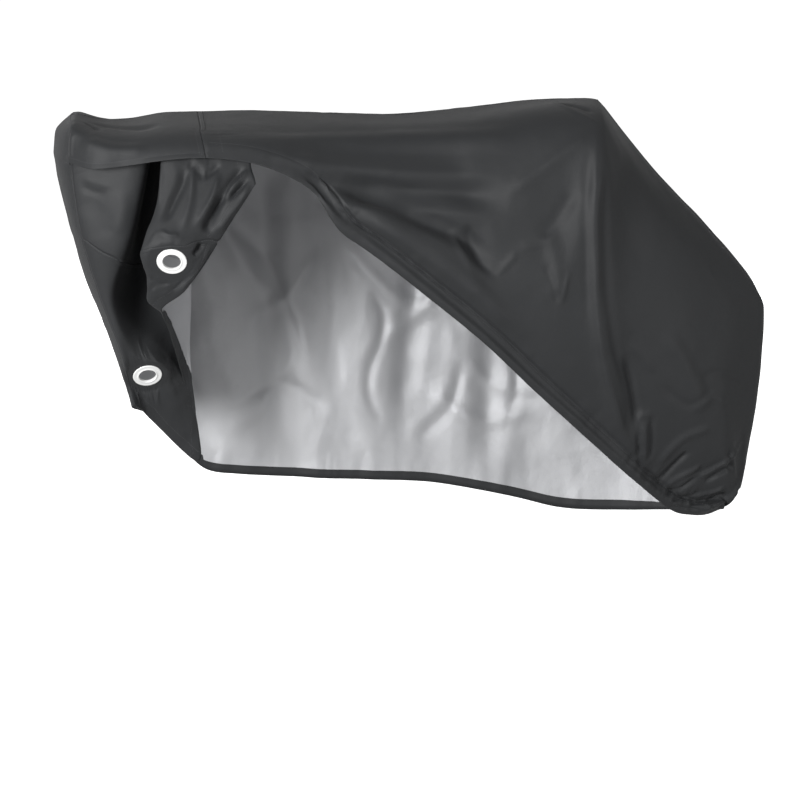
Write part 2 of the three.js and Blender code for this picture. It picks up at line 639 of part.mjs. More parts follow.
// An eyelet: a front and a back flange on one barrel, with the cloth in its groove.
function eyeletGeometry(eyelet) {
  const groove = CLOTH / 2 + EYELET_PLAY;
  const face = groove + FLANGE;
  const bevel = FLANGE / 3;
  const profile = [
    [HOLE_RADIUS, -face + bevel],
    [HOLE_RADIUS + bevel, -face],
    [FLANGE_RADIUS - bevel, -face],
    [FLANGE_RADIUS, -face + bevel],
    [FLANGE_RADIUS, -groove],
    [BARREL_RADIUS, -groove],
    [BARREL_RADIUS, groove],
    [FLANGE_RADIUS, groove],
    [FLANGE_RADIUS, face - bevel],
    [FLANGE_RADIUS - bevel, face],
    [HOLE_RADIUS + bevel, face],
    [HOLE_RADIUS, face - bevel],
  ].map(([radius, height]) => new THREE.Vector2(radius, height));
  const ring = new THREE.LatheGeometry([...profile, profile[0]], LATHE_STEPS);
  return fromManifold(toManifold(atEyelet(ring, eyelet)));
}

const clothMaterial = () => new THREE.MeshStandardMaterial({ color: 0x3b3d40, roughness: 0.62, metalness: 0 });
const ringMaterial = () => new THREE.MeshStandardMaterial({ color: 0xf1f1ef, roughness: 0.35, metalness: 0 });

const band = nearFrontGrid();
const far = farGrid();
const drop = dropGrids();
addGrid('side_near_front', band, -1);
addGrid('side_near_rear', nearRearGrid(), -1);
addGrid('side_far', far, 1);
addGrid('drop_near', drop.upper, -1);
addGrid('lock_front', drop.front, -1);
addGrid('lock_flap', drop.flap, -1);
addGrid('front_end', frontEndGrid(band[0], drop.upper[0], drop.front[0], far[0]), -1);
addGrid('rear_strip', rearStripGrid(), 1);

for (let round = 0; round < REFINE_ROUNDS; round += 1) {
  refineAroundEyelets();
}
sheet.points = sheet.points.map(drawnFlat);

const group = new THREE.Group();
const normals = sheetNormals();
for (const piece of new Set(sheet.faces.map((entry) => entry.piece))) {
  let geometry = clothSolid(piece, normals);
  for (const eyelet of EYELETS.filter((entry) => entry.cloth === piece)) {
    geometry = withEyeletHole(geometry, eyelet);
  }
  const mesh = new THREE.Mesh(geometry, clothMaterial());
  mesh.name = piece;
  group.add(mesh);
}
for (const eyelet of EYELETS) {
  const mesh = new THREE.Mesh(eyeletGeometry(eyelet), ringMaterial());
  mesh.name = eyelet.node;
  group.add(mesh);
}

export default group;
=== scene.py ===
# %% [markdown]
# A weather cover that hangs over two bicycles. The cloth is one coated polyester, charcoal
# outside and silver inside, cut in eight pieces and sewn. The frame holds every piece as a
# closed solid of the right shape. Here each becomes a finer sheet with its creases, seams,
# hems and stitches, and the two lock rings get their moulded detail.

# %% Load the frame
import math
from collections import Counter
from contextlib import contextmanager

import bmesh
import bpy
import numpy as np
from mathutils import Matrix, Vector, noise
from mathutils.bvhtree import BVHTree
from mathutils.kdtree import KDTree


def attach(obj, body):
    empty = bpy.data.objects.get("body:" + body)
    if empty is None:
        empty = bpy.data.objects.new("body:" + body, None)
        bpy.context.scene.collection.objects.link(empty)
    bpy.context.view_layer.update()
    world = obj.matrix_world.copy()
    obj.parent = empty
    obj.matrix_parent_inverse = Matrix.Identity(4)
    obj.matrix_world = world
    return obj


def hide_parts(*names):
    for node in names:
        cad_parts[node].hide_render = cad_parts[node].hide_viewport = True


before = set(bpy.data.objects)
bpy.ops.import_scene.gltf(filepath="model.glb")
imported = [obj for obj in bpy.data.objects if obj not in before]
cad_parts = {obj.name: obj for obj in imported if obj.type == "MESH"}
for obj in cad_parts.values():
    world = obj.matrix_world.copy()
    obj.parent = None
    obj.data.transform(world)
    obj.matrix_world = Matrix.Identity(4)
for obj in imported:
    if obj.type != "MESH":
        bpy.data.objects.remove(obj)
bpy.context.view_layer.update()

MM = 0.001
scene = bpy.context.scene
bpy.ops.object.select_all(action="DESELECT")
print("frame nodes:", sorted(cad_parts))

# %% [markdown]
# The camera comes first. It stands seven metres away with a long lens, a little to the
# left and above, so the cover shows its whole near side and some of its front.

# %% Camera
CAMERA_TURN = math.radians(-5)
CAMERA_RISE = math.radians(12)
CAMERA_DISTANCE = 7.0
CAMERA_AIM = Vector((-0.045, 0.0, -0.801))
SENSOR_WIDTH = 36
LENS = 112.5
FARTHEST_SEEN = 300

look = Vector((
    -math.sin(CAMERA_TURN) * math.cos(CAMERA_RISE),
    math.cos(CAMERA_TURN) * math.cos(CAMERA_RISE),
    -math.sin(CAMERA_RISE),
))
bpy.ops.object.camera_add(
    location=CAMERA_AIM - look * CAMERA_DISTANCE,
    rotation=look.to_track_quat("-Z", "Y").to_euler(),
)
camera = bpy.context.object
camera.data.sensor_width = SENSOR_WIDTH
camera.data.lens = LENS
camera.data.clip_end = FARTHEST_SEEN
scene.camera = camera
print("camera at", tuple(round(v, 3) for v in camera.location))

# %% [markdown]
# Shader maths reads best as plain expressions. A small class wraps a socket and overloads
# the operators, and one method makes any other node from its settings and its sockets.

# %% A socket that can be written in expressions
class Wire:
    def __init__(self, finish, socket):
        self.finish = finish
        self.socket = socket

    def math(self, operation, one, other=0.0):
        return self.finish.node("ShaderNodeMath", {"operation": operation}, {0: one, 1: other})

    def __add__(self, other):
        return self.math("ADD", self, other)

    def __mul__(self, other):
        return self.math("MULTIPLY", self, other)

    __radd__ = __add__
    __rmul__ = __mul__

    def sine(self):
        return self.math("SINE", self)


class Finish:
    """A material that is written line by line around one Principled shader."""

    def __init__(self, name, **constants):
        self.material = bpy.data.materials.new(name)
        self.material.use_nodes = True
        self.tree = self.material.node_tree
        self.shader = self.tree.nodes["Principled BSDF"]
        for socket, value in constants.items():
            self.shader.inputs[socket.replace("_", " ")].default_value = value

    def node(self, kind, settings=None, inputs=None, output=0):
        made = self.tree.nodes.new(kind)
        for name, value in (settings or {}).items():
            setattr(made, name, value)
        for key, value in (inputs or {}).items():
            if isinstance(value, Wire):
                self.tree.links.new(value.socket, made.inputs[key])
            else:
                made.inputs[key].default_value = value
        return Wire(self, made.outputs[output])

    def feed(self, socket, wire):
        self.tree.links.new(wire.socket, self.shader.inputs[socket])

    def place(self):
        return self.node("ShaderNodeTexCoord", output="Object")

    def cloth_place(self):
        return self.node("ShaderNodeUVMap", {"uv_map": "cloth"})

    def axis(self, vector, name):
        return self.node("ShaderNodeSeparateXYZ", None, {"Vector": vector}, name)

    def noise(self, vector, per_metre, detail=2.0):
        inputs = {"Vector": vector, "Scale": per_metre, "Detail": detail}
        return self.node("ShaderNodeTexNoise", None, inputs)

    def bump(self, height, depth, below=None):
        inputs = {"Height": height, "Distance": depth, "Strength": 1.0}
        if below is not None:
            inputs["Normal"] = below
        return self.node("ShaderNodeBump", None, inputs)


# The Mix node has several sockets of one name, so its colour sockets are found by type.
def colour_mix(finish, factor, one, other):
    mix = finish.tree.nodes.new("ShaderNodeMix")
    mix.data_type = "RGBA"
    colours = [s for s in mix.inputs if s.type == "RGBA"]
    finish.tree.links.new(factor.socket, mix.inputs[0])
    colours[0].default_value = (*one, 1)
    colours[1].default_value = (*other, 1)
    return Wire(finish, [s for s in mix.outputs if s.type == "RGBA"][0])


# %% [markdown]
# The cloth is an oxford polyester: a plain weave of threads about a millimetre apart, filled
# and smoothed by its coating. Outside it is charcoal with a soft sheen. Inside the same
# threads show through a silver coat. The weave follows each piece's own map, in metres.

# %% Cloth finishes
THREAD_PITCH = 1.1 * MM
CHARCOAL_DARK = (0.0175, 0.0185, 0.0200)
CHARCOAL_LIGHT = (0.0245, 0.0260, 0.0280)
SILVER_DARK = (0.40, 0.405, 0.42)
SILVER_LIGHT = (0.60, 0.605, 0.62)
CLOUDS_PER_METRE = 5.0
FLECKS_PER_METRE = 260.0
WRINKLES_PER_METRE = 9.0


def weave(finish):
    place = finish.cloth_place()
    turns = 2 * math.pi / THREAD_PITCH
    across = (finish.axis(place, "X") * turns).sine()
    along = (finish.axis(place, "Y") * turns).sine()
    return across * along


def cloth_finish(name, dark, light, weave_depth, wrinkle_depth, rough, rough_range, **constants):
    finish = Finish(name, **constants)
    place = finish.cloth_place()
    threads = weave(finish)
    clouds = finish.noise(place, CLOUDS_PER_METRE, 3.0)
    flecks = finish.noise(place, FLECKS_PER_METRE, 1.0)
    wrinkles = finish.noise(place, WRINKLES_PER_METRE, 3.0)
    # The tone is mostly slow clouds, with some flecks and a trace of the threads.
    tone = clouds * 0.75 + flecks * 0.15 + threads * 0.05
    finish.feed("Base Color", colour_mix(finish, tone, dark, light))
    finish.feed("Roughness", clouds * rough_range + flecks * (0.4 * rough_range) + rough)
    crumple = finish.bump(wrinkles, wrinkle_depth)
    finish.feed("Normal", finish.bump(threads, weave_depth, crumple))
    print(name, "mixes", dark, "and", light)
    return finish.material


outside = cloth_finish(
    "charcoal_cloth", CHARCOAL_DARK, CHARCOAL_LIGHT,
    weave_depth=0.05 * MM, wrinkle_depth=2.0 * MM, rough=0.52, rough_range=0.12,
    Sheen_Weight=0.05, Sheen_Roughness=0.5, Specular_IOR_Level=0.4,
)
inside = cloth_finish(
    "silver_coat", SILVER_DARK, SILVER_LIGHT,
    weave_depth=0.07 * MM, wrinkle_depth=4.0 * MM, rough=0.36, rough_range=0.12,
    Metallic=0.35, Specular_IOR_Level=0.5,
)

# %% [markdown]
# Thread is a matt polyester twist, a shade lighter than the cloth so that a row of stitches
# can be made out close by. The lock rings are injection-moulded white plastic, glossy, with
# a trace of flow texture.

# %% Thread and plastic finishes
THREAD_DARK = (0.030, 0.031, 0.034)
THREAD_LIGHT = (0.075, 0.077, 0.082)
PLASTIC_DARK = (0.83, 0.835, 0.83)
PLASTIC_LIGHT = (0.90, 0.90, 0.89)
TWIST_PER_METRE = 900.0
FLOW_PER_METRE = 60.0
GRAIN_PER_METRE = 1800.0

thread_finish = Finish("sewing_thread", Sheen_Weight=0.2)
twist = thread_finish.noise(thread_finish.place(), TWIST_PER_METRE, 1.0)
thread_finish.feed("Base Color", colour_mix(thread_finish, twist, THREAD_DARK, THREAD_LIGHT))
thread_finish.feed("Roughness", twist * 0.2 + 0.6)
thread_finish.feed("Normal", thread_finish.bump(twist, 0.1 * MM))
thread = thread_finish.material

ring_finish = Finish("white_plastic", Coat_Weight=0.3, Coat_Roughness=0.12, Specular_IOR_Level=0.5)
flow = ring_finish.noise(ring_finish.place(), FLOW_PER_METRE, 3.0)
grain = ring_finish.noise(ring_finish.place(), GRAIN_PER_METRE, 1.0)
ring_finish.feed("Base Color", colour_mix(ring_finish, flow, PLASTIC_DARK, PLASTIC_LIGHT))
ring_finish.feed("Roughness", flow * 0.12 + grain * 0.05 + 0.22)
ring_finish.feed("Normal", ring_finish.bump(flow * 0.8 + grain * 0.2, 0.15 * MM))
plastic = ring_finish.material
print("finishes:", [m.name for m in (outside, inside, thread, plastic)])

# %% [markdown]
# Every cloth solid of the frame is a sheet with two faces and a rim. Only the outer face is
# wanted here. A triangle is on a face, and not on the rim, when the solid's other face lies
# one cloth thickness behind it and none of its edges is just that long. The outer face is
# the one that looks away from the middle of the cover.

# %% The outer face of a cloth solid
CLOTH_NODES = [
    "side_near_rear", "side_near_front", "drop_near", "lock_front",
    "lock_flap", "front_end", "rear_strip", "side_far",
]
FRAME_CLOTH = 2.4 * MM
RIM_MATCH = 0.02 * MM
JUST_INSIDE = 0.2 * MM
THROUGH_CLOTH = 6 * MM
WELD = 0.01 * MM
CORE_LOW = (-0.6, 0, -1.0)  # the box in the middle of the cover that outer faces look away from
CORE_HIGH = (0.45, 0, -0.35)


def read(rows, name, columns=3, kind=float):
    """One property of all the points, faces or corners of a mesh, as a table."""
    values = np.zeros(len(rows) * columns, dtype=kind)
    rows.foreach_get(name, values)
    return values.reshape(-1, columns)


def welded(mesh):
    points = read(mesh.vertices, "co")
    _, first, same = np.unique(np.round(points / WELD), axis=0, return_index=True, return_inverse=True)
    mesh.calc_loop_triangles()
    return points[first], same.reshape(-1)[read(mesh.loop_triangles, "vertices", kind=int)]


def face_normals(points, faces):
    a, b, c = (points[faces[:, i]] for i in range(3))
    return np.cross(b - a, c - a)


def edge_keys(face):
    a, b, c = face
    return [(min(edge), max(edge)) for edge in ((a, b), (b, c), (c, a))]


def face_islands(faces, chosen):
    """The islands of the chosen faces, which join across shared edges."""
    owner = {}
    parent = {int(f): int(f) for f in chosen}

    def root(f):
        while parent[f] != f:
            parent[f] = parent[parent[f]]
            f = parent[f]
        return f

    for f in parent:
        for key in edge_keys(faces[f]):
            if key in owner:
                parent[root(f)] = root(owner[key])
            owner[key] = f
    islands = {}
    for f in parent:
        islands.setdefault(root(f), []).append(f)
    return list(islands.values())


def outer_face(node):
    points, faces = welded(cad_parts[node].data)
    faces = faces[(faces[:, 0] != faces[:, 1]) & (faces[:, 1] != faces[:, 2]) & (faces[:, 2] != faces[:, 0])]
    tree = BVHTree.FromPolygons(points.tolist(), faces.tolist())
    sized = face_normals(points, faces)
    unit = sized / np.maximum(np.linalg.norm(sized, axis=1, keepdims=True), 1e-12)
    centres = points[faces].mean(axis=1)
    sides = np.linalg.norm(points[faces] - points[np.roll(faces, -1, axis=1)], axis=2)
    has_rim_side = (np.abs(sides - FRAME_CLOTH) < RIM_MATCH).any(axis=1)
    on_sheet = []
    for f in np.flatnonzero(~has_rim_side):
        normal = Vector(unit[f])
        start = Vector(centres[f]) - normal * JUST_INSIDE
        _, back, _, _ = tree.ray_cast(start, -normal, THROUGH_CLOTH)
        if back is not None:
            on_sheet.append(int(f))
    core = np.clip(centres, CORE_LOW, CORE_HIGH)
    outward = (sized * (centres - core)).sum(axis=1)
    kept = [f for island in face_islands(faces, on_sheet) if outward[island].sum() > 0 for f in island]
    faces = faces[sorted(kept)]
    used, corners = np.unique(faces, return_inverse=True)
    return points[used], corners.reshape(-1, 3)


skins = {node: outer_face(node) for node in CLOTH_NODES}
for node, (points, faces) in skins.items():
    area = np.linalg.norm(face_normals(points, faces), axis=1).sum() / 2
    print(f"{node}: {len(faces)} outer faces, {area:.3f} m2")

# %% [markdown]
# The pieces are joined into one sheet before anything is smoothed, so that neighbours keep
# meeting along their seams. Points that two pieces share lie a third of a millimetre apart
# in the frame. They are welded here, and each face remembers its piece by its material
# number. Pairs of triangles become quads, which subdivide far more evenly.

# %% One sheet of all the cloth
SEAM_WELD = 1.6 * MM
PINHOLE_SIDES = 5
QUAD_BEND = math.radians(70)


def open_points(keys):
    """The points on free edges, which are the edges that only one face uses."""
    uses = Counter(keys)
    return sorted({point for key, count in uses.items() if count == 1 for point in key})


def added(mesh):
    o = bpy.data.objects.new(mesh.name, mesh)
    scene.collection.objects.link(o)
    return o


def joined_sheet():
    points, faces, piece_of_face, piece_of_point, rim = [], [], [], [], []
    for number, node in enumerate(CLOTH_NODES):
        skin_points, skin_faces = skins[node]
        start = sum(len(p) for p in points)
        rim += [start + p for p in open_points(key for f in skin_faces.tolist() for key in edge_keys(f))]
        points.append(skin_points)
        faces.append(skin_faces + start)
        piece_of_face += [number] * len(skin_faces)
        piece_of_point += [number] * len(skin_points)
    points, faces = np.concatenate(points), np.concatenate(faces)
    tree = KDTree(len(rim))
    for p in rim:
        tree.insert(points[p], p)
    tree.balance()
    same = np.arange(len(points))
    for p in rim:
        group = [q for _, q, _ in tree.find_range(points[p], SEAM_WELD)]
        if len({piece_of_point[q] for q in group}) > 1:
            lowest = min(int(same[q]) for q in group)
            for q in group:
                same[same == same[q]] = lowest
    middles = np.array([points[same == s].mean(axis=0) if (same == s).sum() > 1 else points[s] for s in same])
    faces = same[faces]
    whole = np.array([len(set(face)) == 3 for face in faces.tolist()])
    used, corners = np.unique(faces[whole], return_inverse=True)
    mesh = bpy.data.meshes.new("sheet")
    mesh.from_pydata(middles[used].tolist(), [], corners.reshape(-1, 3).tolist())
    for material in range(len(CLOTH_NODES)):
        mesh.materials.append(outside)
    mesh.polygons.foreach_set("material_index", np.array(piece_of_face)[whole].astype(np.int32))
    return added(mesh)


def pick_only(*objects):
    bpy.ops.object.select_all(action="DESELECT")
    for o in objects:
        o.select_set(True)
    bpy.context.view_layer.objects.active = objects[0]


@contextmanager
def editing(o):
    """Edit mode on one object, with all of it selected."""
    pick_only(o)
    bpy.ops.object.mode_set(mode="EDIT")
    bpy.ops.mesh.select_all(action="SELECT")
    yield
    bpy.ops.object.mode_set(mode="OBJECT")


def close_pinholes(o):
    """Fills stray gaps of a few sides, and gives each filling its neighbour's piece."""
    before = len(o.data.polygons)
    with editing(o):
        bpy.ops.mesh.fill_holes(sides=PINHOLE_SIDES)
    owner = {key: p.material_index for p in o.data.polygons[:before] for key in p.edge_keys}
    for polygon in o.data.polygons[before:]:
        found = [owner[key] for key in polygon.edge_keys if key in owner]
        polygon.material_index = found[0] if found else 0
    print("filled", len(o.data.polygons) - before, "pinholes")


sheet = joined_sheet()
close_pinholes(sheet)
with editing(sheet):
    bpy.ops.mesh.tris_convert_to_quads(face_threshold=QUAD_BEND, shape_threshold=QUAD_BEND, materials=True)
sizes = [len(p.vertices) for p in sheet.data.polygons]
print("sheet:", len(sheet.data.vertices), "points,", sizes.count(4), "quads,", sizes.count(3), "triangles")

# %% [markdown]
# The weave has to follow each piece as it was cut, so each gets a flat map. Unwrapping the
# coarse sheet is quick, and subdivision carries the map along. Each island is then turned
# upright and brought to real size, so one unit on the map is one metre of cloth.

# %% Flat maps in metres
def faces_by_edge(mesh):
    """The faces that meet on each edge."""
    found = {}
    for polygon in mesh.polygons:
        for key in polygon.edge_keys:
            found.setdefault(key, []).append(polygon)
    return found


def pieces_of(faces):
    return {CLOTH_NODES[face.material_index] for face in faces}


between = {key for key, faces in faces_by_edge(sheet.data).items() if len(pieces_of(faces)) > 1}
for edge in sheet.data.edges:
    edge.use_seam = edge.key in between
sheet.data.uv_layers.new(name="cloth")
with editing(sheet):
    bpy.ops.uv.unwrap(method="CONFORMAL", margin=0.01)


def right_map(mesh):
    """Turns and scales each piece's map: right is +X (or +Y on an end), up is +Z."""
    maps = mesh.uv_layers["cloth"].data
    uv = read(maps, "uv", columns=2)
    for number, node in enumerate(CLOTH_NODES):
        loops, real, flat = [], 0.0, 0.0
        level, height = [], []
        for polygon in mesh.polygons:
            if polygon.material_index != number:
                continue
            span = list(polygon.loop_indices)
            loops += span
            corners = [mesh.vertices[mesh.loops[i].vertex_index].co for i in span]
            level += [c.y if node in ("front_end", "rear_strip") else c.x for c in corners]
            height += [c.z for c in corners]
            real += polygon.area
            x, y = uv[span, 0], uv[span, 1]
            flat += abs(np.dot(x, np.roll(y, -1)) - np.dot(y, np.roll(x, -1))) / 2
        here = uv[loops] - uv[loops].mean(axis=0)
        there = np.stack([level, height], axis=1)
        there -= there.mean(axis=0)
        left, _, right = np.linalg.svd(here.T @ there)
        uv[loops] = here @ (left @ right) * math.sqrt(real / max(flat, 1e-12))
    maps.foreach_set("uv", uv.ravel())


right_map(sheet.data)
print("seam edges on the map:", len(between))

# %% [markdown]
# Subdivision rounds everything, which suits slack cloth. Where the cloth is stretched over
# the saddle and over the rear wheel it folds at a corner, so the edges there get a crease
# weight. They stay crisp while all the rest goes smooth. The seam along the roof gets a
# light weight, which keeps its line straight and still lets the roof go round.

# %% Smooth the sheet
STRETCHED_CORNERS = [
    {"low": (0.40, -0.26, -0.05), "high": (0.52, 0.26, 0.06), "least_bend": 28, "weight": 0.9},
    {"low": (0.93, -0.12, -0.58), "high": (0.99, 0.12, -0.50), "least_bend": 11, "weight": 0.6},
]
ROOF_SEAM = [{"side_far", "side_near_rear"}, {"side_far", "side_near_front"}]
ROOF_SEAM_WEIGHT = 0.35


def weigh_edges(mesh):
    weights = mesh.attributes.new("crease_edge", "FLOAT", "EDGE")
    around = faces_by_edge(mesh)
    count = 0
    for edge in mesh.edges:
        faces = around[edge.key]
        if len(faces) != 2:
            continue
        if pieces_of(faces) in ROOF_SEAM:
            weights.data[edge.index].value = ROOF_SEAM_WEIGHT
        bend = math.degrees(faces[0].normal.angle(faces[1].normal))
        middle = (mesh.vertices[edge.vertices[0]].co + mesh.vertices[edge.vertices[1]].co) / 2
        for corner in STRETCHED_CORNERS:
            inside_box = all(a <= m <= b for a, m, b in zip(corner["low"], middle, corner["high"]))
            if inside_box and bend > corner["least_bend"]:
                weights.data[edge.index].value = corner["weight"]
                count += 1
    print("edges kept crisp:", count)


weigh_edges(sheet.data)


def modify(o, kind, **settings):
    """Adds a modifier and applies it at once."""
    modifier = o.modifiers.new(kind, kind)
    for name, value in settings.items():
        setattr(modifier, name, value)
    pick_only(o)
    bpy.ops.object.modifier_apply(modifier=modifier.name)


def smoother(o, levels):
    modify(o, "SUBSURF", levels=levels, render_levels=levels, boundary_smooth="PRESERVE_CORNERS")


smoother(sheet, 2)
print("smoothed sheet:", len(sheet.data.vertices), "points")

# %% [markdown]
# The free edge of the flap hangs a little fuller than the solid's. It is drawn out as
# proportional editing does it: a point takes its neighbours along, less and less with
# their distance. The ring and the seam stay put.

# %% Draw out the flap's edge
PULLS = [
    {"at": (-705, -325, -452), "by": (-30, 0, -6), "reach": 62},
    {"at": (-716, -348, -408), "by": (-14, 0, 0), "reach": 36},
]


def smooth_rise(t):
    """From 0 to 1, level at both ends."""
    t = np.clip(t, 0, 1)
    return t * t * (3 - 2 * t)


def write_points(mesh, points):
    mesh.vertices.foreach_set("co", points.ravel())
    mesh.update()


def draw_out(mesh, node):
    points = read(mesh.vertices, "co")
    number = CLOTH_NODES.index(node)
    mine = sorted({v for p in mesh.polygons if p.material_index == number for v in p.vertices})
    for pull in PULLS:
        away = np.linalg.norm(points[mine] - np.array(pull["at"]) * MM, axis=1) / (pull["reach"] * MM)
        points[mine] += smooth_rise(1 - away)[:, None] * np.array(pull["by"]) * MM
    write_points(mesh, points)
    print("drawn out:", len(PULLS), "times,", len(mine), "points in the piece")


draw_out(sheet.data, "lock_flap")

# %% [markdown]
# The free edge of the whole sheet is its hem, and the edges between two pieces are its
# seams. Both are kept now as lines of points, because the creases, the hem band and the
# stitching are all laid out from them.

# %% Hem and seam lines
def runs_of(keys):
    """Orders edges into lines of point numbers, longest first."""
    near = {}
    for a, b in keys:
        near.setdefault(a, []).append(b)
        near.setdefault(b, []).append(a)
    left = set(keys)
    runs = []

    def walk(start):
        run = [start]
        while True:
            here = run[-1]
            steps = [p for p in sorted(near[here]) if (min(here, p), max(here, p)) in left]
            if not steps or (len(near[here]) > 2 and len(run) > 1):
                return run
            left.discard((min(here, steps[0]), max(here, steps[0])))
            run.append(steps[0])

    for start in sorted(near, key=lambda p: (len(near[p]) == 2, p)):
        while any((min(start, p), max(start, p)) in left for p in near[start]):
            runs.append(walk(start))
    return sorted(runs, key=len, reverse=True)


def sheet_lines(mesh):
    points = read(mesh.vertices, "co")
    hems, seams = {}, {}
    for key, faces in faces_by_edge(mesh).items():
        pieces = pieces_of(faces)
        if len(faces) == 1:
            hems.setdefault(pieces.pop(), []).append(key)
        elif len(pieces) == 2:
            seams.setdefault(tuple(sorted(pieces)), []).append(key)
    return [
        {name: [points[run] for run in runs_of(keys)] for name, keys in edges.items()}
        for edges in (hems, seams)
    ]


def length_of(line):
    return float(np.linalg.norm(np.diff(line, axis=0), axis=1).sum())


hem_lines, seam_lines = sheet_lines(sheet.data)
for name, lines in {**hem_lines, **seam_lines}.items():
    print(name, [round(length_of(line), 3) for line in lines])

# %% [markdown]
# Each piece becomes an object of its own and is divided once more, because it carries fine
# creases. Every piece takes its name from the table, which also gives the size that it was cut to and how it
# hangs.

# %% The pieces as they were cut
FINER_LEVELS = 1
PANELS = {
    "side_near_rear": {"name": "near_rear_panel", "flat": (1.62, 1.15), "area": 1.36, "held": "draped"},
    "side_near_front": {"name": "near_front_panel", "flat": (0.37, 0.38), "area": 0.13, "held": "draped"},
    "drop_near": {"name": "front_drop", "flat": (0.98, 0.44), "area": 0.34, "held": "gathered"},
    "lock_front": {"name": "lock_piece", "flat": (0.56, 0.62), "area": 0.21, "held": "gathered"},
    "lock_flap": {"name": "lock_flap_end", "flat": (0.30, 0.22), "area": 0.036, "held": "hung"},
    "front_end": {"name": "nose_panel", "flat": (0.62, 0.92), "area": 0.41, "held": "draped"},
    "rear_strip": {"name": "rear_strip_panel", "flat": (0.22, 1.40), "area": 0.225, "held": "draped"},
    "side_far": {"name": "far_panel", "flat": (1.98, 1.55), "area": 2.50, "held": "draped"},
}


def split_off(number, node):
    piece = added(sheet.data.copy())
    piece.name = PANELS[node]["name"]
    shape = bmesh.new()
    shape.from_mesh(piece.data)
    others = [f for f in shape.faces if f.material_index != number]
    bmesh.ops.delete(shape, geom=others, context="FACES")
    for face in shape.faces:
        face.material_index = 0
        face.smooth = True
    shape.to_mesh(piece.data)
    shape.free()
    piece.data.materials.clear()
    piece.data.materials.append(outside)
    piece.data.materials.append(inside)
    smoother(piece, FINER_LEVELS)
    return piece


panels = {node: split_off(number, node) for number, node in enumerate(CLOTH_NODES)}
bpy.data.objects.remove(sheet)
for node, piece in panels.items():
    print(piece.name, len(piece.data.polygons), "faces")

# %% [markdown]
# Creases are set one by one. Each follows a line of points on the cloth, stands out or lies in
# by its own height, and fades over its own width and towards its ends. A sharp one has a
# narrow crest, as where taut cloth folds. The lines are laid on the cloth first, so a
# crease always sits on the surface that carries it.

# %% Creases
CREASE_STEP = 3 * MM
CURVE_PARTS = 8  # of the curve between two points of a line
UNEVEN = 0.35  # how much of its height a crease gains or loses along its line
UNEVEN_PACE = 9
END_HEIGHT = 0.12  # so that a crease is not quite flat at its ends
END_RISE = 4.2  # it is at its full height about a fifth of the way along


def surface_of(nodes):
    points, faces = [], []
    for node in nodes:
        mesh = panels[node].data
        start = len(points)
        points += [v.co.copy() for v in mesh.vertices]
        faces += [[start + i for i in p.vertices] for p in mesh.polygons]
    return BVHTree.FromPolygons(points, faces)


def even_steps(line, step):
    """Points every step along a line of points."""
    line = np.asarray(line, float)
    legs = np.linalg.norm(np.diff(line, axis=0), axis=1)
    walked = np.concatenate([[0], np.cumsum(legs)])
    count = max(2, int(walked[-1] / step) + 1)
    places = np.linspace(0, walked[-1], count)
    return np.stack([np.interp(places, walked, line[:, i]) for i in range(3)], axis=1)


def bent_line(line, step):
    """The same, on a smooth curve through the points."""
    line = np.asarray(line, float)
    if len(line) < 3:
        return even_steps(line, step)
    ends = [2 * line[0] - line[1], *line, 2 * line[-1] - line[-2]]
    curve = []
    for a, b, c, d in zip(ends, ends[1:], ends[2:], ends[3:]):
        for t in np.linspace(0, 1, CURVE_PARTS + 1)[:-1]:
            curve.append(0.5 * (2 * b + (c - a) * t + (2 * a - 5 * b + 4 * c - d) * t**2
                                + (3 * b - a - 3 * c + d) * t**3))
    return even_steps([*curve, line[-1]], step)


def wander(place, seed, scale):
    """Slow noise from -1 to 1 along a line."""
    return noise.noise(Vector((place * scale, seed * 7.3, seed * 1.7)))


def crease_height(points, line, out, width, sharp, seed):
    """How far each point moves for one crease. Points off the crease don't move."""
    height = np.zeros(len(points))
    low, high = line.min(axis=0) - width, line.max(axis=0) + width
    near = np.flatnonzero(((points > low) & (points < high)).all(axis=1))
    if not len(near):
        return height
    away = np.linalg.norm(points[near, None, :] - line[None, :, :], axis=2)
    place = away.argmin(axis=1)
    distance = np.clip(1 - away.min(axis=1) / width, 0, None)
    shape = distance**2 * (1 + 2 * (1 - sharp) * (1 - distance))
    along = np.arange(len(line)) / (len(line) - 1)
    uneven = np.array([1 + UNEVEN * wander(a * len(line) * CREASE_STEP, seed, UNEVEN_PACE) for a in along])
    fade = smooth_rise(END_HEIGHT + END_RISE * np.minimum(along, 1 - along))
    height[near] = out * shape * (uneven * fade)[place]
    return height

# %% [markdown]
# The near side is drawn tight from the rear peak: a fan of folds runs down and forward from
# it, a long trough crosses the panel above a soft roll, and the elastic gathers the lower
# rear corner. Each row gives a name, the height and width in millimetres, how sharp the
# crest is, and the points of its line.

